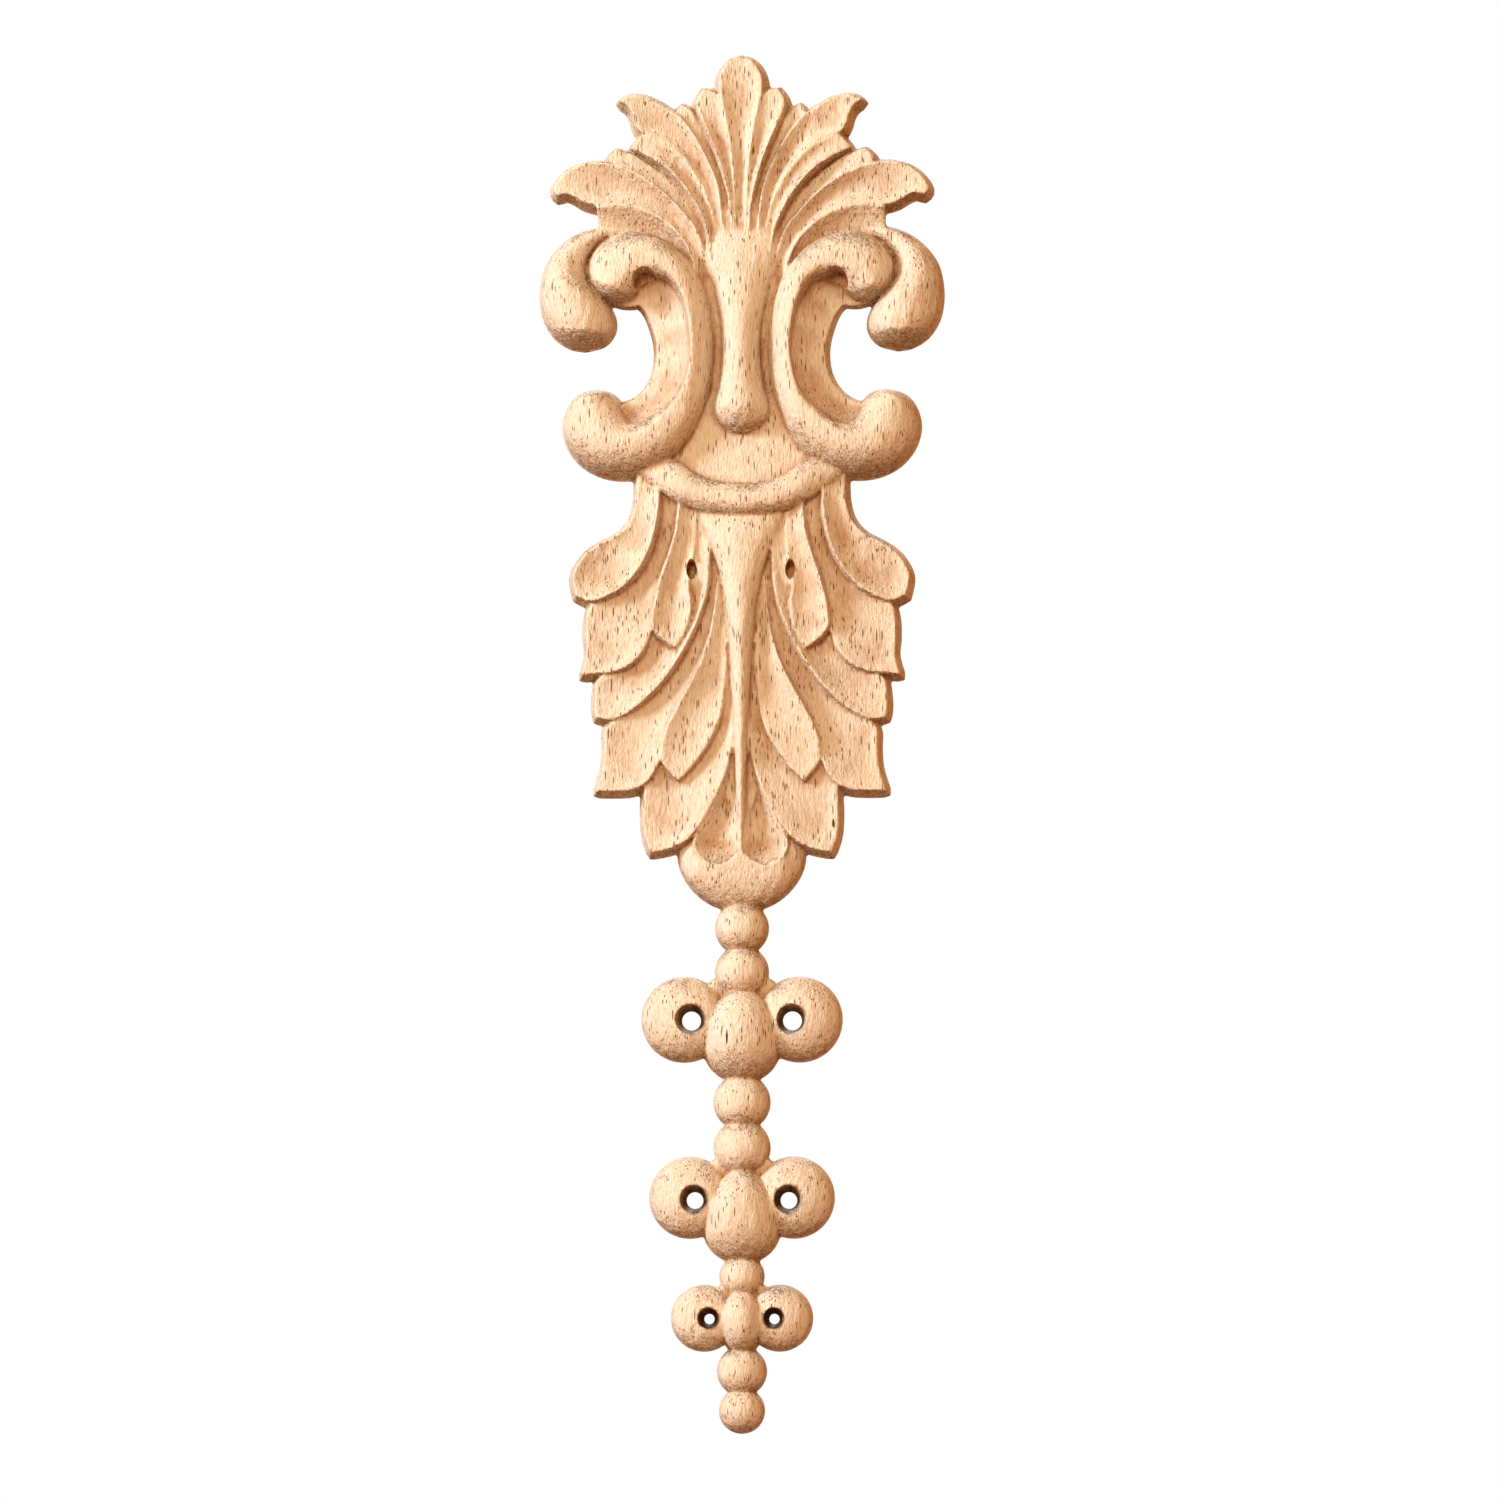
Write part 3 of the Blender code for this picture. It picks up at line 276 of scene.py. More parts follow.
# %% Lobes of the hanging leaf
DROP_LOBES = {
    "shoulder_lobe": dict(
        near=[(20.6, 68), (20.4, 60), (21.0, 55), (22.3, 49.5), (24.4, 44.7), (27.0, 40.9), (30.2, 38.0),
              (33.8, 36.1), (37.4, 35.0), (41.2, 36.4)],
        far=[(26.0, 69), (26.0, 61.5), (26.8, 57.3), (28.4, 54.2), (31.2, 51.6), (35.2, 49.5), (38.4, 47.3),
             (40.7, 44.5), (42.0, 41.2), (41.2, 36.4)],
        near_height=(8.0, 11.6, 11.6, 10.2, 8.2), far_height=(7.0, 8.2, 8.6, 8.6, 8.2),
        dish=(0.2, 1.6, 2.4, 2.6, 0.0)),
    "second_lobe": dict(
        near=[(15.8, 64), (16.8, 54), (18.6, 46), (20.6, 38), (22.1, 29.4), (23.2, 24.9), (25.3, 21.2),
              (28.4, 18.6), (32.0, 17.3), (36.0, 17.0), (39.8, 16.5)],
        far=[(20.6, 64), (21.0, 54), (22.6, 48), (25.6, 42), (29.4, 38.2), (34.4, 35.8), (37.6, 34.0),
             (38.6, 30.6), (38.7, 26.0), (38.4, 21.6), (39.8, 16.5)],
        near_height=(7.0, 7.4, 8.6, 9.8, 7.8), far_height=(7.0, 6.2, 6.8, 7.6, 7.8),
        dish=(0.0, 0.4, 1.2, 1.6, 0.0)),
    "eye_lobe": dict(
        near=[(11.0, 62), (11.2, 53.0), (11.6, 47.0), (12.4, 42.5), (13.0, 38.5), (12.4, 34.5),
              (12.8, 30.0), (14.2, 26.4), (16.3, 23.0)],
        far=[(15.4, 64), (16.0, 53.8), (17.5, 47.5), (19.4, 42.0), (20.9, 36.8), (21.9, 32.0), (21.9, 28.4),
             (19.6, 25.4), (16.3, 23.0)],
        near_height=(7.4, 8.8, 11.0, 10.8, 9.6), far_height=(8.0, 11.4, 12.0, 11.6, 9.6),
        dish=(0.2, 1.4, 2.6, 2.0, 0.0)),
    "third_lobe": dict(
        near=[(9.4, 62), (8.0, 52), (7.8, 44), (8.4, 38), (10.0, 32.2), (12.4, 26.4), (15.8, 20.2),
              (20.0, 14.4), (24.8, 9.6), (29.0, 6.6), (32.6, 5.4), (36.2, 5.9)],
        far=[(13.4, 62), (13.2, 50), (14.4, 40), (19.0, 30.4), (25.4, 22.6), (31.4, 18.2), (35.6, 15.6),
             (36.4, 12.2), (36.6, 8.8), (36.2, 5.9)],
        near_height=(7.2, 9.6, 10.4, 9.8, 7.6), far_height=(7.6, 9.2, 7.0, 7.4, 7.6),
        dish=(0.0, 1.0, 1.8, 2.0, 0.0)),
    "fourth_lobe": dict(
        near=[(4.4, 52), (5.8, 38), (6.8, 30), (8.8, 22.4), (12.0, 15.0), (15.6, 8.6), (18.2, 3.0),
              (19.4, -1.8), (21.0, -6.6), (23.6, -10.4), (27.2, -12.1), (31.4, -12.5), (36.2, -12.5)],
        far=[(7.4, 52), (9.2, 38), (11.2, 30), (14.2, 23.8), (18.0, 17.6), (22.6, 12.0), (28.0, 7.4),
             (32.0, 5.0), (34.0, 3.0), (34.0, -1.6), (34.4, -6.6), (36.2, -12.5)],
        near_height=(6.4, 7.8, 8.2, 9.4, 7.6), far_height=(6.4, 6.4, 6.2, 7.2, 7.6),
        dish=(0.0, 0.5, 1.2, 1.8, 0.0)),
    "inner_lobe": dict(
        near=[(3.4, 48), (3.8, 32), (3.6, 20), (4.2, 12), (5.3, 5.6), (7.7, 0.0), (10.8, -4.7),
              (13.3, -7.8), (15.7, -10.1)],
        far=[(5.4, 48), (7.0, 30.6), (9.2, 21.6), (12.4, 14.6), (15.8, 8.6), (18.4, 3.4), (19.7, -1.4),
             (19.4, -5.6), (15.7, -10.1)],
        near_height=(6.4, 7.2, 8.0, 9.6, 8.8), far_height=(6.4, 9.0, 10.8, 10.8, 8.8),
        dish=(0.0, 0.8, 1.6, 1.6, 0.0)),
    "lowest_lobe": dict(
        near=[(1.2, 16), (2.0, 2.0), (2.8, -4.2), (3.9, -8.4), (5.7, -13.0), (8.2, -17.8), (11.0, -22.1),
              (13.6, -24.8), (17.4, -26.8), (22.5, -28.0)],
        far=[(3.6, 16), (5.6, 5.0), (9.4, 1.4), (14.6, -2.0), (19.8, -4.6), (23.4, -8.4), (24.2, -14.4),
             (24.3, -19.0), (23.9, -23.6), (22.5, -28.0)],
        near_height=(6.8, 8.8, 9.6, 9.4, 7.6), far_height=(6.4, 6.6, 7.4, 7.6, 7.6),
        dish=(0.0, 0.8, 1.8, 1.8, 0.0)),
    "last_flute": dict(
        near=[(0.5, 6), (0.7, -6.0), (0.6, -14.0), (0.4, -22.0), (0.2, -27.4), (1.8, -29.8), (4.0, -31.2),
              (6.4, -31.7)],
        far=[(1.8, 6), (3.2, -6.0), (5.2, -12.6), (7.8, -18.0), (10.4, -22.4), (11.8, -25.6), (10.9, -28.6),
             (8.9, -30.9), (6.4, -31.7)],
        near_height=(7.0, 8.4, 8.8, 9.0, 9.6), far_height=(7.0, 8.2, 8.6, 9.0, 9.6),
        dish=(0.2, 2.2, 3.4, 3.4, 0.0)),
}
for lobe in DROP_LOBES.values():
    shells += both_sides(dished_lobe, lobe)
print("lobes on one side of the hanging leaf:", len(DROP_LOBES))

# %% [markdown]
# Spine, bed and boss
#
# A tapering spine runs down the leaf. It is a roll: a quarter ellipse up from each edge to a crest, which a
# swept circle could give only where the roll is as high as it is wide. Under the lobes lies a low flat bed,
# so that no gap between them goes through, and a soft swelling beside the spine keeps its flanks shallow.
# At the leaf's foot hangs a boss, half a dome that falls away from under the last lobes.

# %% Rolls
def round_roll(near, far, near_height, far_height, crest, crest_share=(0.5, 0.5), full_width=0.0):
    """A quarter ellipse up from each edge to a crest line. Where the roll is narrower than full_width its
    rise shrinks in proportion, which makes its ends balls."""
    rows = rows_for(near, far)
    share = np.linspace(0, 1, rows)
    near_path, far_path = smooth_curve(near, rows), smooth_curve(far, rows)
    peak = levels(crest_share, share)[:, None]
    across = EDGE_TO_EDGE
    near_side = np.clip(across / peak, 0, 1)
    far_side = np.clip((1 - across) / (1 - peak), 0, 1)
    rise = np.where(across < peak, np.sqrt(1 - (1 - near_side) ** 2), np.sqrt(1 - (1 - far_side) ** 2))
    near_foot, far_foot = levels(near_height, share)[:, None], levels(far_height, share)[:, None]
    foot = near_foot + (far_foot - near_foot) * across
    if full_width:
        width = np.linalg.norm(near_path - far_path, axis=1)
        rise = rise * np.minimum(1.0, width / full_width)[:, None]
    height = foot + (levels(crest, share)[:, None] - foot) * rise
    return strip_shell(near_path, far_path, across, height)


def half_dome(near, far, near_height, far_height):
    """Height falls from the near edge to the far edge along a quarter ellipse."""
    rows = rows_for(near, far)
    across = np.sin(np.linspace(0, math.pi / 2, COLUMN_COUNT + 1))
    top = levels(near_height, np.linspace(0, 1, rows))[:, None]
    height = far_height + (top - far_height) * np.sqrt(1 - across ** 2)
    return strip_shell(smooth_curve(near, rows), smooth_curve(far, rows), across, height)


print("a roll's section has", len(EDGE_TO_EDGE), "columns, with the crest in the middle unless it is given")

# %% Grounds and domes
SLAB_COLUMNS = 5
DOME_SIDES = 72
DOME_RINGS = 14
POLE_SHARE = 1e-4  # a pole is a ring this small, because a face with no width has no direction


def slab(edge, height):
    """A flat ground of one height between a half outline and its mirror image."""
    rows = rows_for(edge, edge)
    far = smooth_curve(edge, rows)
    across = np.linspace(0, 1, SLAB_COLUMNS)
    return strip_shell(far * np.array([-1.0, 1.0]), far, across, np.full((rows, SLAB_COLUMNS), float(height)))


def ring_faces(rings, sides):
    """Quads between closed rings, with a lid on the first and the last one."""
    a = (np.arange(rings - 1)[:, None] * sides + np.arange(sides)[None, :]).ravel()
    b = (np.arange(rings - 1)[:, None] * sides + (np.arange(sides)[None, :] + 1) % sides).ravel()
    faces = [tuple(face) for face in np.stack([a, b, b + sides, a + sides], axis=1).tolist()]
    return faces + [tuple(range(sides)), tuple(range((rings - 1) * sides, rings * sides))]


def dome(x, z, radius_x, radius_z, height, wall, belly=0.0):
    """An egg outline, (rx sin a (1 - belly cos a), rz cos a). Behind the height wall it leans out by the
    draft, and in front of it rings shrink as cos b while they rise as sin b."""
    turn = np.linspace(0, TAU, DOME_SIDES, endpoint=False)
    rise = np.linspace(0, math.pi / 2, DOME_RINGS + 1)
    flare = 1 + DRAFT * (wall + BEHIND) / radius_x
    scale = np.concatenate([[POLE_SHARE, flare], np.maximum(np.cos(rise), POLE_SHARE)])
    level = np.concatenate([[-BEHIND, -BEHIND], wall + (height - wall) * np.sin(rise)])
    outline_x = radius_x * np.sin(turn) * (1 - belly * np.cos(turn))
    outline_z = radius_z * np.cos(turn)
    points = np.stack([x + scale[:, None] * outline_x, -np.repeat(level[:, None], DOME_SIDES, axis=1),
                       z + scale[:, None] * outline_z], axis=-1).reshape(-1, 3)
    return points, ring_faces(len(scale), DOME_SIDES)


print("points in one dome:", DOME_SIDES * (DOME_RINGS + 3))

# %% Shells of spine, bed and boss
SPINE_EDGE = [(13.0, 63), (10.6, 56.5), (8.2, 50), (6.3, 45), (5.0, 40), (4.1, 35), (3.3, 28), (2.7, 20),
              (2.3, 12), (2.0, 4), (1.6, -4), (1.2, -12), (0.9, -20), (0.0, -28.4)]
SPINE_CREST = (9.0, 12.2, 12.8, 12.2, 11.6, 10.6, 9.2)
SPINE_SIDE = (7.0, 7.2, 6.4, 6.2, 6.6, 7.2, 8.2)
BED_EDGE = [(23.0, 67), (19.0, 58), (22.0, 42), (30.0, 33), (32.0, 20), (31.0, 8), (29.0, -8), (20.0, -14),
            (18.0, -24), (9.0, -29), (0.0, -31)]
BED_HEIGHT = 4.6
SPINE_BED = dict(x=0.0, z=14.0, radius_x=6.0, radius_z=34.0, height=7.0, wall=6.0)
BOSS_UPPER = [(-15.8, -24.0), (-14.0, -24.4), (-11.6, -25.6), (-9.8, -29.0), (-6.4, -31.0), (-3.0, -30.0),
              (0.0, -27.6), (3.0, -30.0), (6.4, -31.0), (9.8, -29.0), (11.6, -25.6), (14.0, -24.4),
              (15.8, -24.0)]
BOSS_LOWER = [(-15.8, -24.0), (-15.2, -31.0), (-12.2, -36.4), (-7.0, -40.4), (0.0, -42.0), (7.0, -40.4),
              (12.2, -36.4), (15.2, -31.0), (15.8, -24.0)]
BOSS_TOP = (3.0, 7.4, 9.2, 9.4, 9.6, 9.4, 9.2, 7.4, 3.0)
BOSS_SIDE = 3.0
shells.append(round_roll(mirrored(SPINE_EDGE), SPINE_EDGE, SPINE_SIDE, SPINE_SIDE, SPINE_CREST))
shells += [slab(BED_EDGE, BED_HEIGHT), dome(**SPINE_BED)]
shells.append(half_dome(BOSS_UPPER, BOSS_LOWER, BOSS_TOP, BOSS_SIDE))
print("shells so far:", len(shells))

# %% [markdown]
# Scrolls
#
# A C-scroll is a roll with a sharp crest near its inner side and a hollow channel beyond it. Both free ends
# swell into a ball, and over the upper ball curls a second, larger roll, the volute. A spiral formula would
# give an even scroll, but this one was drawn, so its edges are given as points too. The crest's place across
# the roll is one more value that is read along it. A low web joins the ball to the volute behind the gap.

# %% Shells of the scrolls
SCROLL_OUTER = [(32.0, 110.4), (35.8, 112.4), (38.0, 116.6), (37.6, 121.4), (34.4, 125.6), (29.4, 127.9),
                (24.0, 127.8), (19.0, 125.8), (14.6, 122.6), (11.2, 118.6), (8.7, 113.0), (7.2, 106.8),
                (6.8, 99.6), (7.2, 92.4), (8.6, 85.6), (11.0, 79.2), (14.2, 73.9), (18.4, 69.9),
                (23.6, 67.4), (29.4, 66.4), (35.0, 67.2), (39.8, 69.8), (43.2, 74.0), (44.6, 79.0),
                (43.6, 83.8), (41.0, 87.0), (37.0, 88.4)]
SCROLL_INNER = [(32.0, 110.4), (29.0, 110.8), (27.0, 112.6), (25.6, 114.8), (23.2, 116.4), (20.2, 116.6),
                (17.0, 114.8), (14.6, 111.0), (13.1, 106.0), (12.3, 99.4), (12.9, 93.0), (14.8, 87.6),
                (17.8, 83.8), (21.4, 81.2), (25.0, 79.6), (28.0, 80.0), (30.0, 82.6), (31.6, 86.2),
                (34.2, 88.0), (37.0, 88.4)]
SCROLL_ROLL = dict(
    near=SCROLL_OUTER, far=SCROLL_INNER, near_height=(5.2, 5.4, 5.0, 4.6, 4.4, 3.0, 3.0),
    far_height=(4.6, 11.4, 13.4, 13.8, 13.2, 8.0, 3.4), crest=(13.4, 14.6, 15.0, 15.2, 15.0, 14.6, 13.8),
    crest_share=(0.50, 0.72, 0.88, 0.90, 0.86, 0.60, 0.50), full_width=11.0)
SCROLL_CHANNEL = dict(
    near=[(24.0, 119.2), (20.2, 119.2), (16.2, 117.0), (13.6, 112.6), (11.8, 106.4), (11.1, 99.4),
          (11.7, 92.8), (13.7, 87.0), (16.8, 82.6), (20.8, 79.8), (25.0, 78.2), (29.0, 78.6), (32.0, 82.0)],
    far=[(27.2, 111.0), (25.4, 109.6), (23.8, 107.6), (22.4, 104.4), (21.4, 101.2), (21.0, 97.6),
         (21.5, 93.4), (23.2, 89.6), (25.8, 86.8), (28.6, 85.4), (31.6, 85.2)],
    near_height=(7.4, 11.4, 13.4, 14.2, 13.8, 13.0, 10.4), far_height=(4.8, 5.6, 6.6, 6.8, 6.6, 6.2, 5.4),
    dish=(1.4, 2.2, 2.2, 2.0, 2.2, 2.2, 0.8))
VOLUTE_ROLL = dict(
    near=[(21.0, 128.0), (26.0, 129.0), (31.0, 129.4), (36.0, 129.1), (41.0, 127.6), (45.4, 124.6),
          (48.6, 120.4), (50.0, 115.4), (50.2, 110.4), (49.1, 105.8), (46.6, 102.0), (43.0, 99.6),
          (39.2, 98.8)],
    far=[(21.0, 126.6), (27.0, 127.8), (32.0, 127.4), (36.2, 125.0), (38.7, 121.2), (38.9, 116.8),
         (36.6, 113.0), (33.8, 110.2), (32.0, 106.8), (32.1, 103.2), (34.5, 100.2), (39.2, 98.8)],
    near_height=(6.0, 5.4, 4.0, 3.0, 2.8), far_height=(5.0, 4.6, 3.6, 3.0, 2.8),
    crest=(12.0, 14.6, 15.0, 14.4, 11.4), full_width=15.0)
WEB = dict(x=28.2, z=112.0, radius_x=5.0, radius_z=2.6, height=4.8, wall=4.4)
shells += both_sides(round_roll, SCROLL_ROLL) + both_sides(dished_lobe, SCROLL_CHANNEL)
shells += both_sides(round_roll, VOLUTE_ROLL) + both_sides(dome, WEB)
print("shells with the scrolls:", len(shells))

# %% [markdown]
# Stem, ground and collar
#
# A round stem stands between the scrolls and ends in a ball, and a crescent collar closes the ground under
# it. The fan's ribs don't start on the stem in a line: they grow out of a swelling, which lies over a wider
# and lower skirt. Blending the roots by hand would do it for one view only. Two more rolls, one low and
# wide, one higher and narrower, do it from every side.

# %% Shells of stem, ground and collar
STEM_EDGE = [(1.4, 140), (3.6, 133), (6.2, 126.5), (7.1, 120), (6.5, 112.5), (5.5, 107), (4.8, 101),
             (4.8, 95.5), (5.8, 88.5), (7.1, 84.0), (6.4, 80.4), (4.0, 78.2), (0.0, 77.4)]
STEM_CREST = (6.0, 9.8, 12.2, 13.3, 13.8, 14.6, 9.0)
STEM_SIDE = (5.0, 7.6, 7.4, 5.6, 5.4, 6.0, 4.6)
STEM_FOOT = dict(x=0.0, z=83.2, radius_x=7.2, radius_z=7.0, height=13.6, wall=3.0)
STEM_FULL_WIDTH = 9.0
ROOT_SWELL = [(3.0, 146), (7.0, 139), (9.6, 132), (10.0, 126), (9.0, 120), (7.0, 114)]
ROOT_SWELL_CREST = (6.0, 8.4, 10.0, 11.8, 12.2)
ROOT_SWELL_SIDE = (5.0, 6.4, 7.4, 7.6, 6.0)
STEM_SKIRT = [(2.0, 137), (6.4, 132), (10.0, 126.5), (11.2, 120), (10.2, 113.5), (8.8, 107.5), (7.4, 101),
              (6.6, 95)]
STEM_SKIRT_CREST = (6.0, 8.6, 8.4, 7.0, 4.4)
STEM_SKIRT_SIDE = (4.6, 4.6, 4.6, 4.5, 4.3)
GROUND_EDGE = [(9.0, 126), (13.0, 118), (13.0, 99), (15.0, 84), (20.0, 72), (17.0, 64), (10.0, 60),
               (0.0, 58.0)]
GROUND_HEIGHT = 4.5
APRON = dict(x=0.0, z=67.0, radius_x=25.0, radius_z=23.0, height=7.9, wall=3.4)
COLLAR = dict(
    near=[(-23.0, 72.0), (-16.4, 70.2), (-11.4, 67.0), (-6.0, 64.9), (0.0, 64.2), (6.0, 64.9), (11.4, 67.0),
          (16.4, 70.2), (23.0, 72.0)],
    far=[(-25.6, 67.2), (-20.4, 62.7), (-15.0, 59.3), (-8.0, 56.9), (0.0, 56.0), (8.0, 56.9), (15.0, 59.3),
         (20.4, 62.7), (25.6, 67.2)],
    near_height=(7.0, 7.8, 7.8, 7.8, 7.0), far_height=(7.0, 7.8, 7.8, 7.8, 7.0),
    crest=(9.0, 12.4, 13.0, 12.4, 9.0))
shells.append(round_roll(mirrored(STEM_EDGE), STEM_EDGE, STEM_SIDE, STEM_SIDE, STEM_CREST,
                         full_width=STEM_FULL_WIDTH))
for edge, side, crest in ((ROOT_SWELL, ROOT_SWELL_SIDE, ROOT_SWELL_CREST),
                          (STEM_SKIRT, STEM_SKIRT_SIDE, STEM_SKIRT_CREST)):
    shells.append(round_roll(mirrored(edge), edge, side, side, crest))
shells += [round_roll(**COLLAR), slab(GROUND_EDGE, GROUND_HEIGHT), dome(**STEM_FOOT), dome(**APRON)]
print("shells with stem and collar:", len(shells))

# %% [markdown]
# The beaded tail
#
# The tail is a string of round beads with three longer ones, the eggs. The upper two eggs are a little wider
# at the bottom. Beside each egg sits a pair of berries. All of them are turned forms cut in half by the flat
# back, so a dome with its own width, length and height is enough. A ball from Blender's own shapes would
# have no side wall behind its widest ring, which the real one has.

# %% Shells of beads, eggs and berries
ROUND_BEADS = [(-46.4, 6.3, 9.0), (-57.4, 6.3, 9.0), (-89.8, 6.7, 9.2), (-101.2, 6.7, 9.2),
               (-133.2, 5.2, 8.0), (-156.8, 5.8, 8.2), (-166.6, 5.3, 7.8)]
EGGS = [
    dict(x=0.0, z=-73.0, radius_x=9.5, radius_z=11.6, height=13.2, belly=0.14),
    dict(x=0.0, z=-118.0, radius_x=9.3, radius_z=11.6, height=12.9, belly=0.20),
    dict(x=0.0, z=-144.4, radius_x=5.3, radius_z=8.0, height=10.8, belly=0.0),
]
BERRIES = [
    dict(x=14.4, z=-69.2, radius=10.3, height=9.6,
         hole_x=12.6, hole_z=-69.5, hole_radius=3.6, back_radius=2.2),
    dict(x=12.9, z=-113.6, radius=9.8, height=9.2,
         hole_x=11.7, hole_z=-114.3, hole_radius=3.4, back_radius=1.9),
    dict(x=9.4, z=-143.6, radius=7.9, height=8.2,
         hole_x=8.1, hole_z=-143.8, hole_radius=2.6, back_radius=1.1),
]
BEAD_WALL = 2.6
NOOK = dict(radius_x=2.6, radius_z=2.6, height=3.8, wall=3.2)  # a small fill between bead, egg and berry
NOOK_ACROSS = 0.42  # where it lies, as a share of the berry's x
NOOK_UP = 0.70  # and how far above the berry's middle, as a share of its radius
for z, radius, height in ROUND_BEADS:
    shells.append(dome(0.0, z, radius, radius, height, BEAD_WALL))
for egg in EGGS:
    shells.append(dome(wall=BEAD_WALL, **egg))
for berry in BERRIES:
    x, z, radius = berry["x"], berry["z"], berry["radius"]
    ball = dict(x=x, z=z, radius_x=radius, radius_z=radius, height=berry["height"], wall=BEAD_WALL)
    shells += both_sides(dome, ball)
    shells += both_sides(dome, dict(NOOK, x=NOOK_ACROSS * x, z=z + NOOK_UP * radius))
print("shells in all:", len(shells), "with points:", sum(len(points) for points, faces in shells))

# %% [markdown]
# Holes and cracks
#
# Every berry is pierced by a tapered hole, and the leaf and the scrolls have sunk eyes, which a carver
# drills to open the gap between two forms. The wood also has two small cracks, one in the right lowest lobe
# and one in the first egg. Dark paint would do for a picture from the front, but it would show from the
# side. So each is a cone piece that is subtracted from the skin further on.

# %% Cutters for holes and cracks
SCROLL_EYE = dict(x=23.8, z=114.8, radius_x=3.6, radius_z=3.6, front=16.0, back=6.4, back_share=0.80)
LEAF_EYE = dict(x=12.3, z=42.8, radius_x=1.55, radius_z=3.1, front=16.0, back=5.2, back_share=0.70)
CRACKS = [
    dict(x=23.0, z=-20.6, radius_x=0.42, radius_z=1.9, front=12.0, back=5.4, back_share=0.4),
    dict(x=-3.3, z=-74.2, radius_x=0.42, radius_z=2.9, front=16.0, back=9.2, back_share=0.4),
]
HOLE_FLARE = 1.15  # a berry's drill is this much wider than the hole's mouth, because it starts in front
DRILL_AHEAD = 2.0  # how far in front of the berry the drill starts
DRILL_BEYOND = 1.0  # how far behind the back face it ends


def tapered_drill(x, z, radius_x, radius_z, front, back, back_share):
    """A cone piece: an ellipse at the front height, the same ellipse times back_share at the back height."""
    turn = np.linspace(0, TAU, DOME_SIDES, endpoint=False)
    scale = np.array([1.0, back_share])[:, None]
    level = np.repeat(np.array([[front], [back]]), DOME_SIDES, axis=1)
    across, upward = x + scale * radius_x * np.sin(turn), z + scale * radius_z * np.cos(turn)
    return np.stack([across, -level, upward], axis=-1).reshape(-1, 3), ring_faces(2, DOME_SIDES)


holes = both_sides(tapered_drill, SCROLL_EYE) + both_sides(tapered_drill, LEAF_EYE)
for berry in BERRIES:
    mouth = berry["hole_radius"] * HOLE_FLARE
    drill = dict(x=berry["hole_x"], z=berry["hole_z"], radius_x=mouth, radius_z=mouth, back=-DRILL_BEYOND,
                 front=berry["height"] + DRILL_AHEAD, back_share=berry["back_radius"] / mouth)
    holes += both_sides(tapered_drill, drill)
holes += [tapered_drill(**crack) for crack in CRACKS]
print("holes and cracks:", len(holes))

# %% [markdown]
# One skin over all of it
#
# The shells overlap freely, as lumps of clay pressed together would. Joining them with Boolean unions would
# keep every seam sharp. A voxel remesh drops a fine net over them instead and keeps only what lies outside,
# so every seam turns into a small rounded valley, as a cutter leaves it. A few smoothing steps take off the
# net's steps. Then the holes and the flat back are cut, and needless faces are merged.

# %% Join the shells
DOUBLES = 2e-6  # in metres, points closer than this are one


def mesh_object(name, parts):
    """One mesh from several shells: their points and faces one after another, doubles merged, and faces
    turned outwards."""
    mesh = bpy.data.meshes.new(name)
    starts = np.cumsum([0] + [len(points) for points, faces in parts])
    points = np.vstack([points for points, faces in parts]) * MM
    faces = []
    for start, (part_points, part_faces) in zip(starts.tolist(), parts):
        faces += [tuple(start + corner for corner in face) for face in part_faces]
    mesh.from_pydata(points.tolist(), [], faces)
    shape = bmesh.new()
    shape.from_mesh(mesh)
    bmesh.ops.remove_doubles(shape, verts=shape.verts, dist=DOUBLES)
    bmesh.ops.recalc_face_normals(shape, faces=shape.faces)
    shape.to_mesh(mesh)
    shape.free()
    made = bpy.data.objects.new(name, mesh)
    bpy.context.scene.collection.objects.link(made)
    print(name, "has faces:", len(mesh.polygons))
    return made


rough = mesh_object("rough_forms", shells)
cutters = mesh_object("hole_cutters", holes)

# %% Block behind the back face
BLOCK_HALF_WIDTH, BLOCK_DEPTH, BLOCK_HALF_LENGTH = 80.0, 20.0, 200.0
block_corners = np.array([(x, y, z) for x in (-BLOCK_HALF_WIDTH, BLOCK_HALF_WIDTH) for y in (0.0, BLOCK_DEPTH)
                          for z in (-BLOCK_HALF_LENGTH, BLOCK_HALF_LENGTH)])
block_faces = [(0, 1, 3, 2), (4, 5, 7, 6), (0, 1, 5, 4), (2, 3, 7, 6), (0, 2, 6, 4), (1, 3, 7, 5)]
back_block = mesh_object("back_block", [(block_corners, block_faces)])

# %% Skin, soften and cut
SKIN_CELL = 0.36  # cell of the skin that joins the forms
SOFTEN_STEPS = 2
SOFTEN_SHARE = 0.5
FACE_LIMIT = 196000
net = rough.modifiers.new("net", "REMESH")
net.mode = "VOXEL"
net.voxel_size = SKIN_CELL * MM
soft = rough.modifiers.new("soften", "SMOOTH")
soft.factor = SOFTEN_SHARE
soft.iterations = SOFTEN_STEPS
for cutter in (cutters, back_block):
    cut = rough.modifiers.new("cut", "BOOLEAN")
    cut.operation = "DIFFERENCE"
    cut.solver = "MANIFOLD"
    cut.object = cutter


def evaluated_arrays(obj):
    """Points and triangles of an object with its modifiers applied."""
    seen = obj.evaluated_get(bpy.context.evaluated_depsgraph_get())
    mesh = seen.to_mesh()
    mesh.calc_loop_triangles()
    points = np.empty(len(mesh.vertices) * 3)
    mesh.vertices.foreach_get("co", points)
    triangles = np.empty(len(mesh.loop_triangles) * 3, dtype=np.int64)
    mesh.loop_triangles.foreach_get("vertices", triangles)
    seen.to_mesh_clear()
    return points.reshape(-1, 3), triangles.reshape(-1, 3)


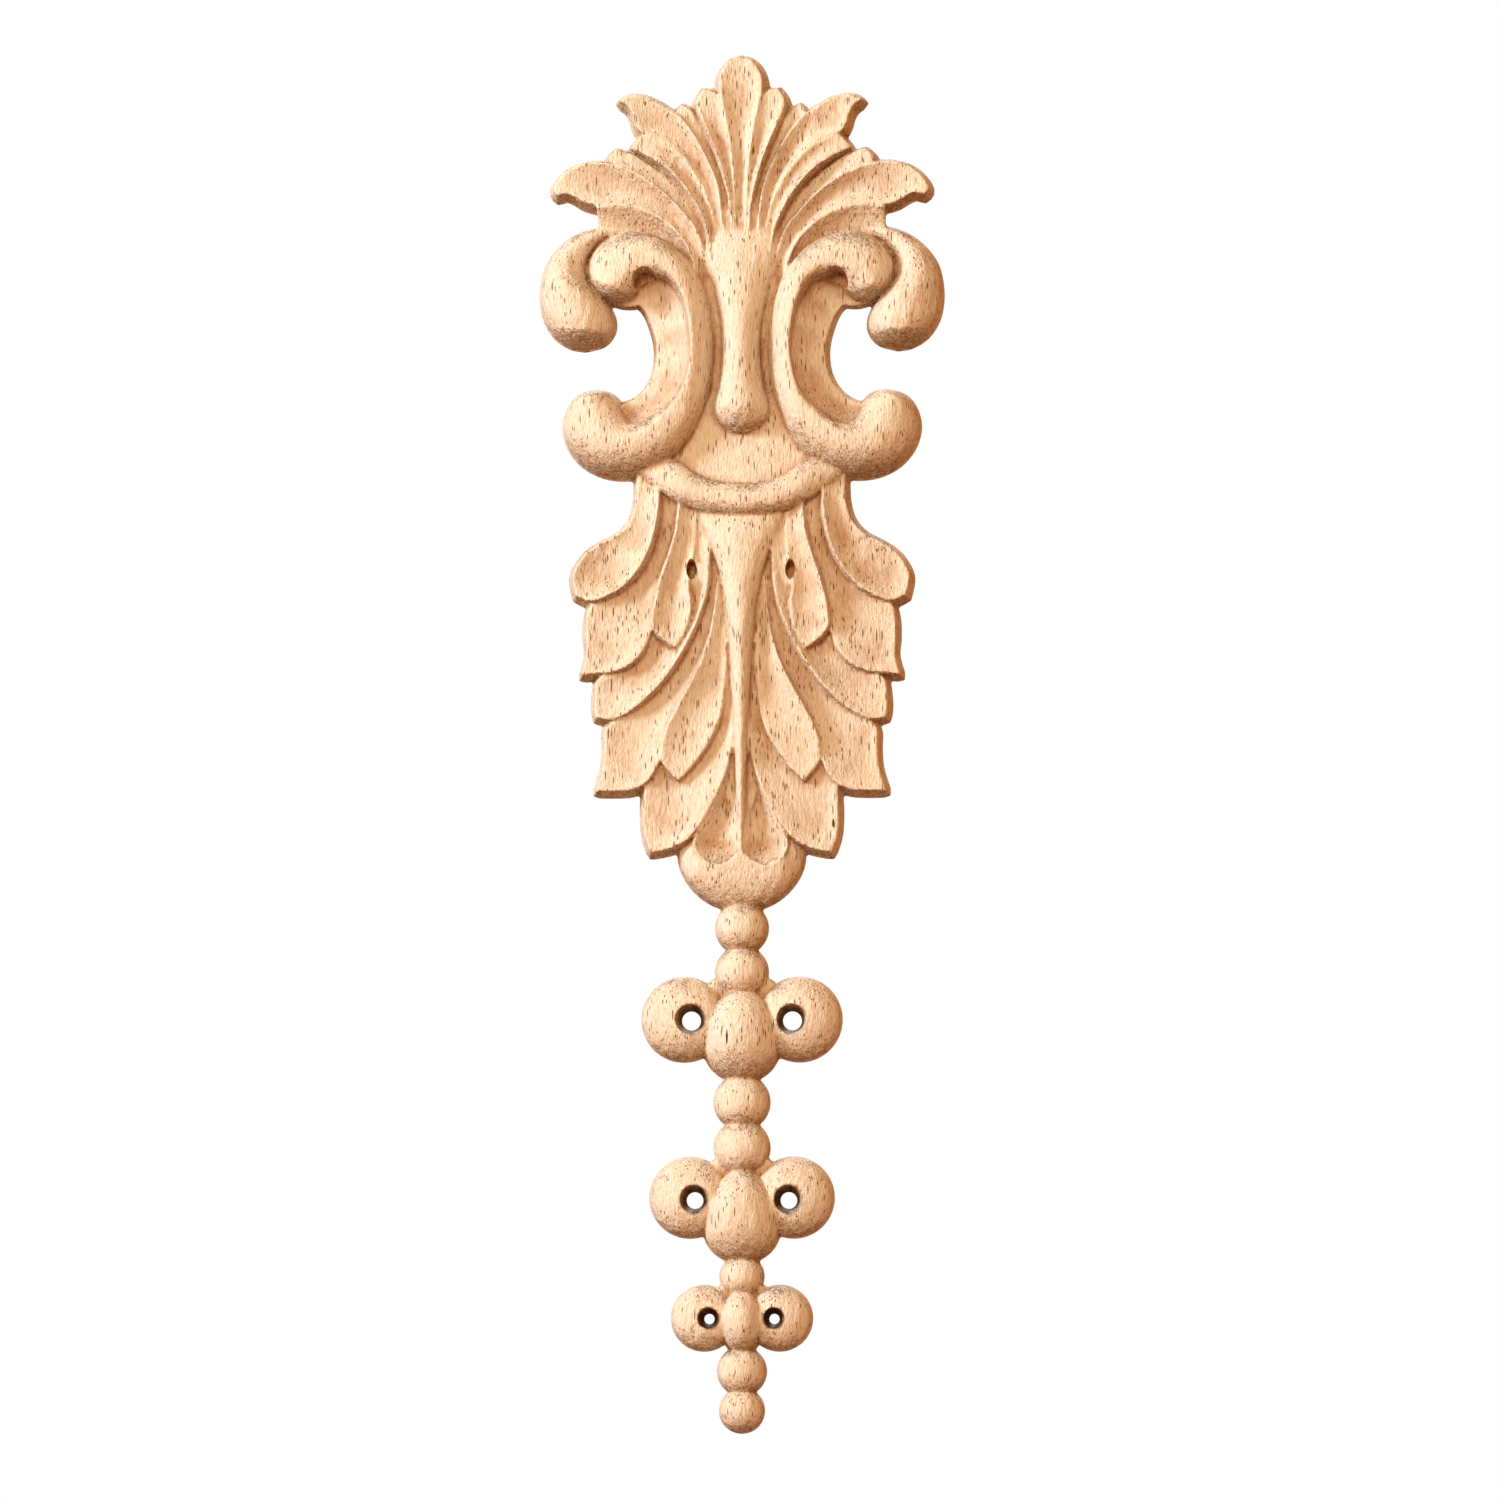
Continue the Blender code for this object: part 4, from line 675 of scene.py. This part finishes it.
skin_points, skin_triangles = evaluated_arrays(rough)
print("skin triangles before merging:", len(skin_triangles))
thin = rough.modifiers.new("merge_needless", "DECIMATE")
thin.ratio = min(1.0, FACE_LIMIT / len(skin_triangles))
thin.use_collapse_triangulate = True
skin_points, skin_triangles = evaluated_arrays(rough)
print("skin triangles:", len(skin_triangles))
for helper in (rough, cutters, back_block):
    bpy.data.objects.remove(helper)

# %% [markdown]
# Traces of the hand
#
# No carved surface is even. Long shallow ripples follow the grain, and small dents cross it. They are a few
# hundredths of a millimetre deep, laid over the skin along its normals, and fade out towards the flat back.
# A bump in the material would look the same from the front, but it would leave the outline dead straight.
# Sums of sines with seeded random directions give the same ripples on every run.

# %% Ripples and dents
LONG_RIPPLE = dict(seed=3, waves=14, length_x=5.0, length_z=16.0)
LONG_DEPTH = 0.05
SMALL_DENTS = dict(seed=8, waves=18, length_x=1.6, length_z=3.4)
SMALL_DEPTH = 0.025
STILL_EDGE = 0.6  # no ripple this close to the back face
STILL_FADE = 1.5  # and full ripples this much further forward
LENGTH_SPREAD = (0.6, 1.6)  # the fewest and the most crests of a wave, as shares of the usual number
LEAST_LENGTH = 1e-20  # keeps a point without faces from a division by zero


def point_normals(points, triangles):
    """Sum of the normals of the triangles round each point, each weighted by its area, then made unit."""
    a, b, c = (points[triangles[:, k]] for k in range(3))
    facing = np.cross(b - a, c - a)
    corners, count = triangles.ravel(), len(points)
    total = np.stack([np.bincount(corners, np.repeat(facing[:, k], 3), count) for k in range(3)], axis=1)
    return total / np.maximum(np.linalg.norm(total, axis=1), LEAST_LENGTH)[:, None]


def ripple(points, seed, waves, length_x, length_z):
    """Sum of sines with random directions: each has a wavelength near length_x across the grain and near
    length_z along it, and a random start. Divided by the square root of half their number."""
    rng = np.random.default_rng(seed)
    spread = rng.uniform(*LENGTH_SPREAD, (waves, 3)) * rng.choice([-1, 1], (waves, 3))
    direction = spread * TAU / np.array([length_x, length_x, length_z])
    return np.sin(points @ direction.T + rng.uniform(0, TAU, waves)).sum(axis=1) / math.sqrt(waves / 2)


in_mm = skin_points / MM
normals = point_normals(skin_points, skin_triangles)
away_from_back = np.clip((-in_mm[:, 1] - STILL_EDGE) / STILL_FADE, 0, 1)
push = LONG_DEPTH * ripple(in_mm, **LONG_RIPPLE) + SMALL_DEPTH * ripple(in_mm, **SMALL_DENTS)
carved_points = in_mm + normals * (push * away_from_back)[:, None]
carved_points[:, 1] = np.minimum(carved_points[:, 1], 0.0)
print("ripple depth in mm, lowest and highest:", round(float(push.min()), 3), round(float(push.max()), 3))

# %% The finished mesh
SHARP_ANGLE = math.radians(60.0)  # edges sharper than this, such as those of the flat back, stay crisp
applique_mesh = bpy.data.meshes.new("carved_relief")
applique_mesh.vertices.add(len(carved_points))
applique_mesh.vertices.foreach_set("co", (carved_points * MM).ravel())
applique_mesh.loops.add(len(skin_triangles) * 3)
applique_mesh.loops.foreach_set("vertex_index", skin_triangles.ravel())
applique_mesh.polygons.add(len(skin_triangles))
applique_mesh.polygons.foreach_set("loop_start", np.arange(len(skin_triangles)) * 3)
applique_mesh.update(calc_edges=True)
applique_mesh.validate()
applique_mesh.shade_smooth()
applique_mesh.set_sharp_from_angle(angle=SHARP_ANGLE)
applique = bpy.data.objects.new("carved_relief", applique_mesh)
bpy.context.scene.collection.objects.link(applique)
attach(applique, "root")
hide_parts("carved_applique")
print("triangles in the finished piece:", len(applique_mesh.polygons))

# %% [markdown]
# What the surface knows about itself
#
# Six facts about each point steer the finish. Where the surface faces up or down, the cutter crossed the
# ends of the fibres and left them torn: end grain. Where it is steep, the cutter left fine marks from front
# to back. The other four paint light and shade into the colour: painted shade in a valley, a painted
# highlight on a rim, painted warm shade on the underside, where more fibres are torn as well, and painted
# shade on the wall of a berry's hole. Shader nodes could guess some of this from the normal, but not a
# valley's depth. So numpy works all six out once, and they are kept as attributes of the mesh.

# %% Helpers for the facts
KEEP_SHARE = 0.5  # of a point's own place, at each step towards its neighbours


def neighbour_mean(values, edges, counts):
    """Mean over the points joined by an edge: sums over both ends of every edge, divided by their number."""
    first, second = edges[:, 0], edges[:, 1]
    sums = [np.bincount(first, column[second], len(values)) + np.bincount(second, column[first], len(values))
            for column in values.T]
    return np.stack(sums, axis=1) / counts[:, None]


def hollowness(points, normals, edges, steps):
    """How far the neighbourhood's mean lies in front of the surface, in mm: positive in a valley."""
    counts = np.maximum(np.bincount(edges.ravel(), minlength=len(points)), 1)
    mean = points
    for _ in range(steps):
        mean = KEEP_SHARE * mean + (1 - KEEP_SHARE) * neighbour_mean(mean, edges, counts)
    return ((mean - points) * normals).sum(axis=1)


def store(mesh, name, values):
    """One number for each point, from 0 to 1, as a named attribute of the mesh."""
    kept = np.clip(values, 0, 1)
    attribute = mesh.attributes.new(name, "FLOAT", "POINT")
    attribute.data.foreach_set("value", kept.astype(np.float32))
    print(name, "mean", round(float(kept.mean()), 3))


edge_ends = np.empty(len(applique_mesh.edges) * 2, dtype=np.int64)
applique_mesh.edges.foreach_get("vertices", edge_ends)
edge_ends = edge_ends.reshape(-1, 2)
print("edges of the skin:", len(edge_ends))

# %% The six facts
FINE_STEPS, BROAD_STEPS = 8, 60  # steps of the mean for small and for wide hollows
# gains and start of the valley mask, which paints shade into valleys and creases in a deeper brown
FINE_GAIN, BROAD_GAIN, VALLEY_START = 4.6, 0.40, 0.08
# how strongly a bulge turns into the painted highlight on rims
RIM_GAIN = 3.0
END_START, END_SPAN = 0.25, 0.6  # how upright a normal has to be for end grain, and until all of it is
STEEP_START, STEEP_SPAN = 0.62, 0.4
# how far a face turns down before painted warm shade and more torn fibres begin
UNDER_START, UNDER_SPAN = 0.15, 0.7
HOLE_SHADE_EDGE = 0.20  # mm over which a berry's hole darkens at its mouth with painted shade

carved_normals = point_normals(carved_points, skin_triangles)
facing_front, facing_up = np.abs(carved_normals[:, 1]), carved_normals[:, 2]
fine_hollow = hollowness(in_mm, normals, edge_ends, FINE_STEPS)
broad_hollow = hollowness(in_mm, normals, edge_ends, BROAD_STEPS)
store(applique_mesh, "end_grain", (np.abs(facing_up) - END_START) / END_SPAN)
store(applique_mesh, "steep", (STEEP_START - facing_front) / STEEP_SPAN)
# painted shade in valleys, from how far the surface lies behind its neighbourhood
store(applique_mesh, "valley_shade", FINE_GAIN * fine_hollow + BROAD_GAIN * broad_hollow - VALLEY_START)
# painted highlight on rims and ridges, where the surface bulges
store(applique_mesh, "rim", -RIM_GAIN * fine_hollow)
# painted warm shade on faces turned down; the same mask also places more torn fibres there
store(applique_mesh, "under", (-facing_up - UNDER_START) / UNDER_SPAN)
# painted shade on the walls of the berries' holes, starting just inside each hole's mouth
hole_shade = np.zeros(len(carved_points))
for berry in BERRIES:
    from_axis = np.hypot(np.abs(carved_points[:, 0]) - berry["hole_x"], carved_points[:, 2] - berry["hole_z"])
    hole_shade = np.maximum(hole_shade, (berry["hole_radius"] + HOLE_SHADE_EDGE - from_axis) / HOLE_SHADE_EDGE)
store(applique_mesh, "hole_shade", hole_shade)

# %% [markdown]
# Bare pale wood
#
# The wood is a pale, even hardwood with open pores, cut with its grain upright and left without finish. A
# picture of wood wrapped round the ornament would run the grain over every bend, and real grain goes
# straight through. So the grain is a solid pattern on Object coordinates, drawn out along z. A face that
# follows the grain shows dashes, and a face across it shows dots.

# %% Wood material and two helpers for nodes
wood = bpy.data.materials.new("bare_wood")
wood.use_nodes = True
nodes, links = wood.node_tree.nodes, wood.node_tree.links
shader = nodes["Principled BSDF"]


def add(kind, **settings):
    """A node with its settings; a key that names an input sets that input's value or links a socket to it."""
    made = nodes.new(kind)
    for key, value in settings.items():
        if key in made.inputs and not hasattr(made, key):
            feed(made, key, value)
        else:
            setattr(made, key, value)
    return made


def feed(made, key, value):
    """Links a socket to an input, or sets the input's own value."""
    if isinstance(value, bpy.types.NodeSocket):
        links.new(value, made.inputs[key])
    else:
        made.inputs[key].default_value = value


coordinates = nodes.new("ShaderNodeTexCoord")
print("nodes to start with:", len(nodes))

# %% Helpers for patterns and mixing
MIX_SHARE, MIX_FIRST, MIX_SECOND, MIX_RESULT = 0, 6, 7, 2  # places of a Mix node's colour sockets


def maths(operation, first, second, third=None):
    """first operation second, as a Math node's value."""
    made = nodes.new("ShaderNodeMath")
    made.operation = operation
    for k, value in enumerate((first, second) if third is None else (first, second, third)):
        feed(made, k, value)
    return made.outputs[0]


def stretched(across, depth, along):
    """Object coordinates times so many cells per metre in x, y and z."""
    made = nodes.new("ShaderNodeMapping")
    feed(made, "Vector", coordinates.outputs["Object"])
    feed(made, "Scale", (across, depth, along))
    return made.outputs["Vector"]


def noise(vector, detail=2.0, rough=0.5):
    """Soft noise at one cell per unit of the vector."""
    made = add("ShaderNodeTexNoise", Vector=vector, Scale=1.0, Detail=detail, Roughness=rough)
    return made.outputs["Fac"]


def ramp(value, zero_at, one_at):
    """0 where the value is zero_at, 1 where it is one_at, eased between as 3t^2 - 2t^3."""
    made = add("ShaderNodeMapRange", interpolation_type="SMOOTHSTEP")
    for key, number in (("Value", value), ("From Min", zero_at), ("From Max", one_at)):
        feed(made, key, number)
    return made.outputs["Result"]


def blend(share, first, second):
    """Colour mix: first at share 0, second at share 1."""
    made = nodes.new("ShaderNodeMix")
    made.data_type = "RGBA"
    for key, value in ((MIX_SHARE, share), (MIX_FIRST, first), (MIX_SECOND, second)):
        feed(made, key, value)
    return made.outputs[MIX_RESULT]


print("two colours are mixed from sockets", MIX_FIRST, "and", MIX_SECOND, "into", MIX_RESULT)

# %% Facts as masks
BACK_SKIN = 0.02 * MM  # the flat back and this much of the wood in front of it have none of the facts
FACTS_FROM = 0.25 * MM  # and from here on they count in full
spot = add("ShaderNodeSeparateXYZ", Vector=coordinates.outputs["Object"])
in_front = ramp(spot.outputs["Y"], zero_at=-BACK_SKIN, one_at=-FACTS_FROM)
facts = {}
for name in ("end_grain", "steep", "valley_shade", "rim", "under", "hole_shade"):
    fact = add("ShaderNodeAttribute", attribute_name=name)
    facts[name] = maths("MULTIPLY", in_front, fact.outputs["Fac"])
print("masks from the mesh:", sorted(facts))

# %% [markdown]
# Grain, pores and torn fibres
#
# Freshly cut, such wood shows soft darker bands, fine fibres and open pores: short dashes, and a few long
# ones. The pores could be drawn as lines of noise, but then they would be joined up. Voronoi cells are
# separate, so one cell in six or nine gets a dark core. Where the cutter crossed the fibres it tore them,
# which leaves light and dark crumbs, and everywhere else it left a finer sand.

# %% Patterns in the wood
CORE_SHARE = 0.45  # of a pore's size is fully dark
CHANCE_STEP = 0.02
SAND_ALL_OVER, SAND_ON_TORN = 0.40, 0.30
CELLS = {  # cells per metre across the grain, front to back and along the grain
    "bands": (90, 90, 9),
    "fibres": (2600, 2600, 120),
    "speckle": (1700, 1700, 480),
    "crumbs": (1050, 1050, 900),
    "patches": (160, 160, 110),
    "marks": (2400, 260, 2400),
}


def pores(across, along, size, kept):
    """Long cells of Voronoi noise: 1 in the core of the few cells whose random value is under kept."""
    cell = add("ShaderNodeTexVoronoi", Vector=stretched(across, across, along), Scale=1.0)
    core = ramp(cell.outputs["Distance"], zero_at=size, one_at=size * CORE_SHARE)
    chance = add("ShaderNodeSeparateColor", Color=cell.outputs["Color"])
    return maths("MULTIPLY", core, ramp(chance.outputs[0], zero_at=kept + CHANCE_STEP, one_at=kept))


def both(first, second):
    """Product of two masks: 1 only where both are 1."""
    return maths("MULTIPLY", first, second)


bands = noise(stretched(*CELLS["bands"]), detail=3.0)
fibres = noise(stretched(*CELLS["fibres"]), detail=2.0)
short_pores = pores(across=2100, along=260, size=0.44, kept=0.17)
long_pores = pores(across=1300, along=130, size=0.30, kept=0.11)
dark_pores = maths("MAXIMUM", short_pores, long_pores)
speckle = noise(stretched(*CELLS["speckle"]), detail=3.0, rough=0.66)
crumbs = noise(stretched(*CELLS["crumbs"]), detail=3.0, rough=0.62)
patches = ramp(noise(stretched(*CELLS["patches"]), detail=2.0), zero_at=0.42, one_at=0.62)
torn = both(facts["end_grain"], maths("MAXIMUM", patches, facts["under"]))
sand = maths("MULTIPLY_ADD", torn, SAND_ON_TORN, SAND_ALL_OVER)
marks = noise(stretched(*CELLS["marks"]), detail=2.0)
wall_marks = both(facts["steep"], ramp(marks, zero_at=0.50, one_at=0.70))
print("nodes with the patterns:", len(nodes))

# %% Layers of colour
# The deep, light and warm tones below colour the wood's own flecks and marks and also painted light: painted
# shade in valleys and on undersides and a painted highlight on rims. The darkest one is painted shade on the
# walls of the berries' holes.
PALE = (0.820, 0.670, 0.520, 1.0)
TAN = (0.725, 0.545, 0.385, 1.0)
DARK_FLECK_AND_SHADE = (0.440, 0.185, 0.060, 1.0)
PORE = (0.200, 0.064, 0.015, 1.0)
LIGHT_FLECK_AND_HIGHLIGHT = (0.930, 0.770, 0.600, 1.0)
WARM_FLECK_AND_SHADE = (0.580, 0.270, 0.100, 1.0)
HOLE_WALL_SHADE = (0.095, 0.026, 0.005, 1.0)
LAYERS = [  # a mask, how strongly it counts, and the tone it lays over what lies below
    (ramp(bands, zero_at=0.3, one_at=0.75), 0.65, TAN),
    (ramp(fibres, zero_at=0.45, one_at=0.72), 0.28, TAN),
    # painted highlight on rims and ridges
    (facts["rim"], 0.40, LIGHT_FLECK_AND_HIGHLIGHT),
    # painted warm shade on faces turned down
    (facts["under"], 0.55, WARM_FLECK_AND_SHADE),
    # painted shade in valleys and creases
    (facts["valley_shade"], 0.90, DARK_FLECK_AND_SHADE),
    (both(torn, ramp(crumbs, zero_at=0.51, one_at=0.60)), 0.95, LIGHT_FLECK_AND_HIGHLIGHT),
    (both(torn, ramp(crumbs, zero_at=0.47, one_at=0.37)), 0.80, DARK_FLECK_AND_SHADE),
    (both(sand, ramp(speckle, zero_at=0.52, one_at=0.64)), 0.75, LIGHT_FLECK_AND_HIGHLIGHT),
    (both(sand, ramp(speckle, zero_at=0.48, one_at=0.36)), 0.75, WARM_FLECK_AND_SHADE),
    (wall_marks, 0.38, DARK_FLECK_AND_SHADE),
    (dark_pores, 0.88, PORE),
    # painted shade on the walls of the berries' holes
    (facts["hole_shade"], 0.96, HOLE_WALL_SHADE),
]
colour = PALE
for mask, strength, tone in LAYERS:
    colour = blend(maths("MULTIPLY", mask, strength), colour, tone)
links.new(colour, shader.inputs["Base Color"])
print("layers of colour:", len(LAYERS))

# %% [markdown]
# Relief too fine for the mesh
#
# Fibres, pores and crumbs are at most a few tenths of a millimetre deep. As mesh they would take millions
# of triangles, so a Bump node tilts the normals by the same patterns that colour the wood. Bare wood has
# next to no gloss, so the surface is rough and its reflection weak.

# %% Bump and gloss
RELIEF_DEPTH = 0.30 * MM
MIDDLE = 0.5  # the mean of a noise, and the height that the relief starts from
WOOD_ROUGHNESS, WOOD_REFLECTION = 0.68, 0.06
RELIEF_LAYERS = [  # a pattern and how far it stands out, as a share of the relief's depth
    (fibres, 0.10),
    (dark_pores, -0.55),
    (both(torn, maths("SUBTRACT", crumbs, MIDDLE)), 10.0),
    (maths("SUBTRACT", speckle, MIDDLE), 2.0),
    (wall_marks, -0.30),
]
height = MIDDLE
for pattern, depth in RELIEF_LAYERS:
    height = maths("MULTIPLY_ADD", pattern, depth, height)
relief = add("ShaderNodeBump", Height=height, Strength=1.0, Distance=RELIEF_DEPTH)
links.new(relief.outputs["Normal"], shader.inputs["Normal"])
shader.inputs["Roughness"].default_value = WOOD_ROUGHNESS
shader.inputs["Specular IOR Level"].default_value = WOOD_REFLECTION
applique_mesh.materials.append(wood)
print("wood nodes:", len(nodes))

# %% [markdown]
# Floor
#
# The ornament is pictured hanging, against plain white. A pale floor lies two metres below it. Any nearer,
# it would throw the lamps' light back up onto the undersides and turn their warm shade grey.

# %% Pale floor
FLOOR_HALF = 2.5
FLOOR_LEVEL = -2.0
FLOOR_TONE = (0.82, 0.82, 0.82, 1.0)
FLOOR_ROUGHNESS = 0.9
corner_signs = ((-1, -1), (1, -1), (1, 1), (-1, 1))
floor_mesh = bpy.data.meshes.new("floor")
floor_corners = [(x * FLOOR_HALF, y * FLOOR_HALF, FLOOR_LEVEL) for x, y in corner_signs]
floor_mesh.from_pydata(floor_corners, [], [(0, 1, 2, 3)])
floor = bpy.data.objects.new("floor", floor_mesh)
bpy.context.scene.collection.objects.link(floor)
pale = bpy.data.materials.new("pale_floor")
pale.use_nodes = True
pale_shader = pale.node_tree.nodes["Principled BSDF"]
pale_shader.inputs["Base Color"].default_value = FLOOR_TONE
pale_shader.inputs["Roughness"].default_value = FLOOR_ROUGHNESS
floor_mesh.materials.append(pale)
print("floor is", 2 * FLOOR_HALF, "m wide, at", FLOOR_LEVEL, "m")

# %% [markdown]
# Light
#
# One wide soft light stands at the upper left, so faces turned left are bright and faces turned right fall
# into a warm shade. A weaker one in front opens the channels, and one behind lights the back for the views
# from there. A weak warm light from all round keeps the valleys open. A picture of a studio could give all
# this, but it would be a file to load, and lamps are easier to set one by one. Only the camera sees the
# surroundings white.

# %% Lamps
from mathutils import Vector

AIM = Vector((0.00225, -0.007, -0.00225))
LAMP_SIZE = 0.45
LAMPS = {
    "key_light": dict(where=(-1.55, -0.90, 0.65), watts=40.8, colour=(0.655, 0.855, 1.0)),
    "front_light": dict(where=(-0.31, -1.77, 0.65), watts=19.9, colour=(1.0, 0.97, 0.74)),
    "back_light": dict(where=(0.0, 1.55, 0.85), watts=22.0, colour=(0.80, 0.92, 1.0)),
}


def soft_lamp(name, where, watts, colour):
    """A square lamp at a place, turned to the aim."""
    lamp = bpy.data.lights.new(name, "AREA")
    lamp.size, lamp.energy, lamp.color = LAMP_SIZE, watts, colour
    made = bpy.data.objects.new(name, lamp)
    made.location = where
    made.rotation_euler = (AIM - Vector(where)).to_track_quat("-Z", "Y").to_euler()
    bpy.context.scene.collection.objects.link(made)
    return made


for name, settings in LAMPS.items():
    soft_lamp(name, **settings)
print("lamps:", sorted(LAMPS))

# %% Surroundings
SURROUND_TONE = (1.0, 0.425, 0.130, 1.0)
SURROUND_STRENGTH = 0.54
WHITE = (1.0, 1.0, 1.0, 1.0)
surround = bpy.data.worlds.new("surround")
surround.use_nodes = True
bpy.context.scene.world = surround
sky_nodes, sky_links = surround.node_tree.nodes, surround.node_tree.links
warm = sky_nodes["Background"]
warm.inputs["Color"].default_value = SURROUND_TONE
warm.inputs["Strength"].default_value = SURROUND_STRENGTH
white = sky_nodes.new("ShaderNodeBackground")
white.inputs["Color"].default_value = WHITE
white.inputs["Strength"].default_value = 1.0
ray = sky_nodes.new("ShaderNodeLightPath")
choose = sky_nodes.new("ShaderNodeMixShader")
sky_links.new(ray.outputs["Is Camera Ray"], choose.inputs[0])
sky_links.new(warm.outputs[0], choose.inputs[1])
sky_links.new(white.outputs[0], choose.inputs[2])
sky_links.new(choose.outputs[0], sky_nodes["World Output"].inputs["Surface"])
bpy.context.scene.view_settings.view_transform = "Standard"
print("surroundings strength:", SURROUND_STRENGTH)

# %% [markdown]
# Camera
#
# The ornament is seen nearly square on, from a little below and a little to the right. A long lens from
# almost three metres keeps its edges upright, where a short one close by would spread the nearer scrolls.

# %% Camera at the picture's angle
AZIMUTH, ELEVATION = math.radians(2.1), math.radians(-4.6)
DISTANCE = 2.80
FRAME_SIZE = 0.3740  # height and width of the picture at the ornament
SENSOR = 36.0
CLIP_START, CLIP_END = 0.05, 20.0

camera_data = bpy.data.cameras.new("camera")
camera_data.sensor_width = SENSOR
camera_data.lens = SENSOR * DISTANCE / FRAME_SIZE
camera_data.clip_start, camera_data.clip_end = CLIP_START, CLIP_END
camera = bpy.data.objects.new("camera", camera_data)
level_part = math.cos(ELEVATION)
away = Vector((math.sin(AZIMUTH) * level_part, -math.cos(AZIMUTH) * level_part, math.sin(ELEVATION)))
camera.location = AIM + away * DISTANCE
camera.rotation_euler = (-away).to_track_quat("-Z", "Y").to_euler()
bpy.context.scene.collection.objects.link(camera)
bpy.context.scene.camera = camera
print("lens in mm:", round(camera_data.lens, 1))
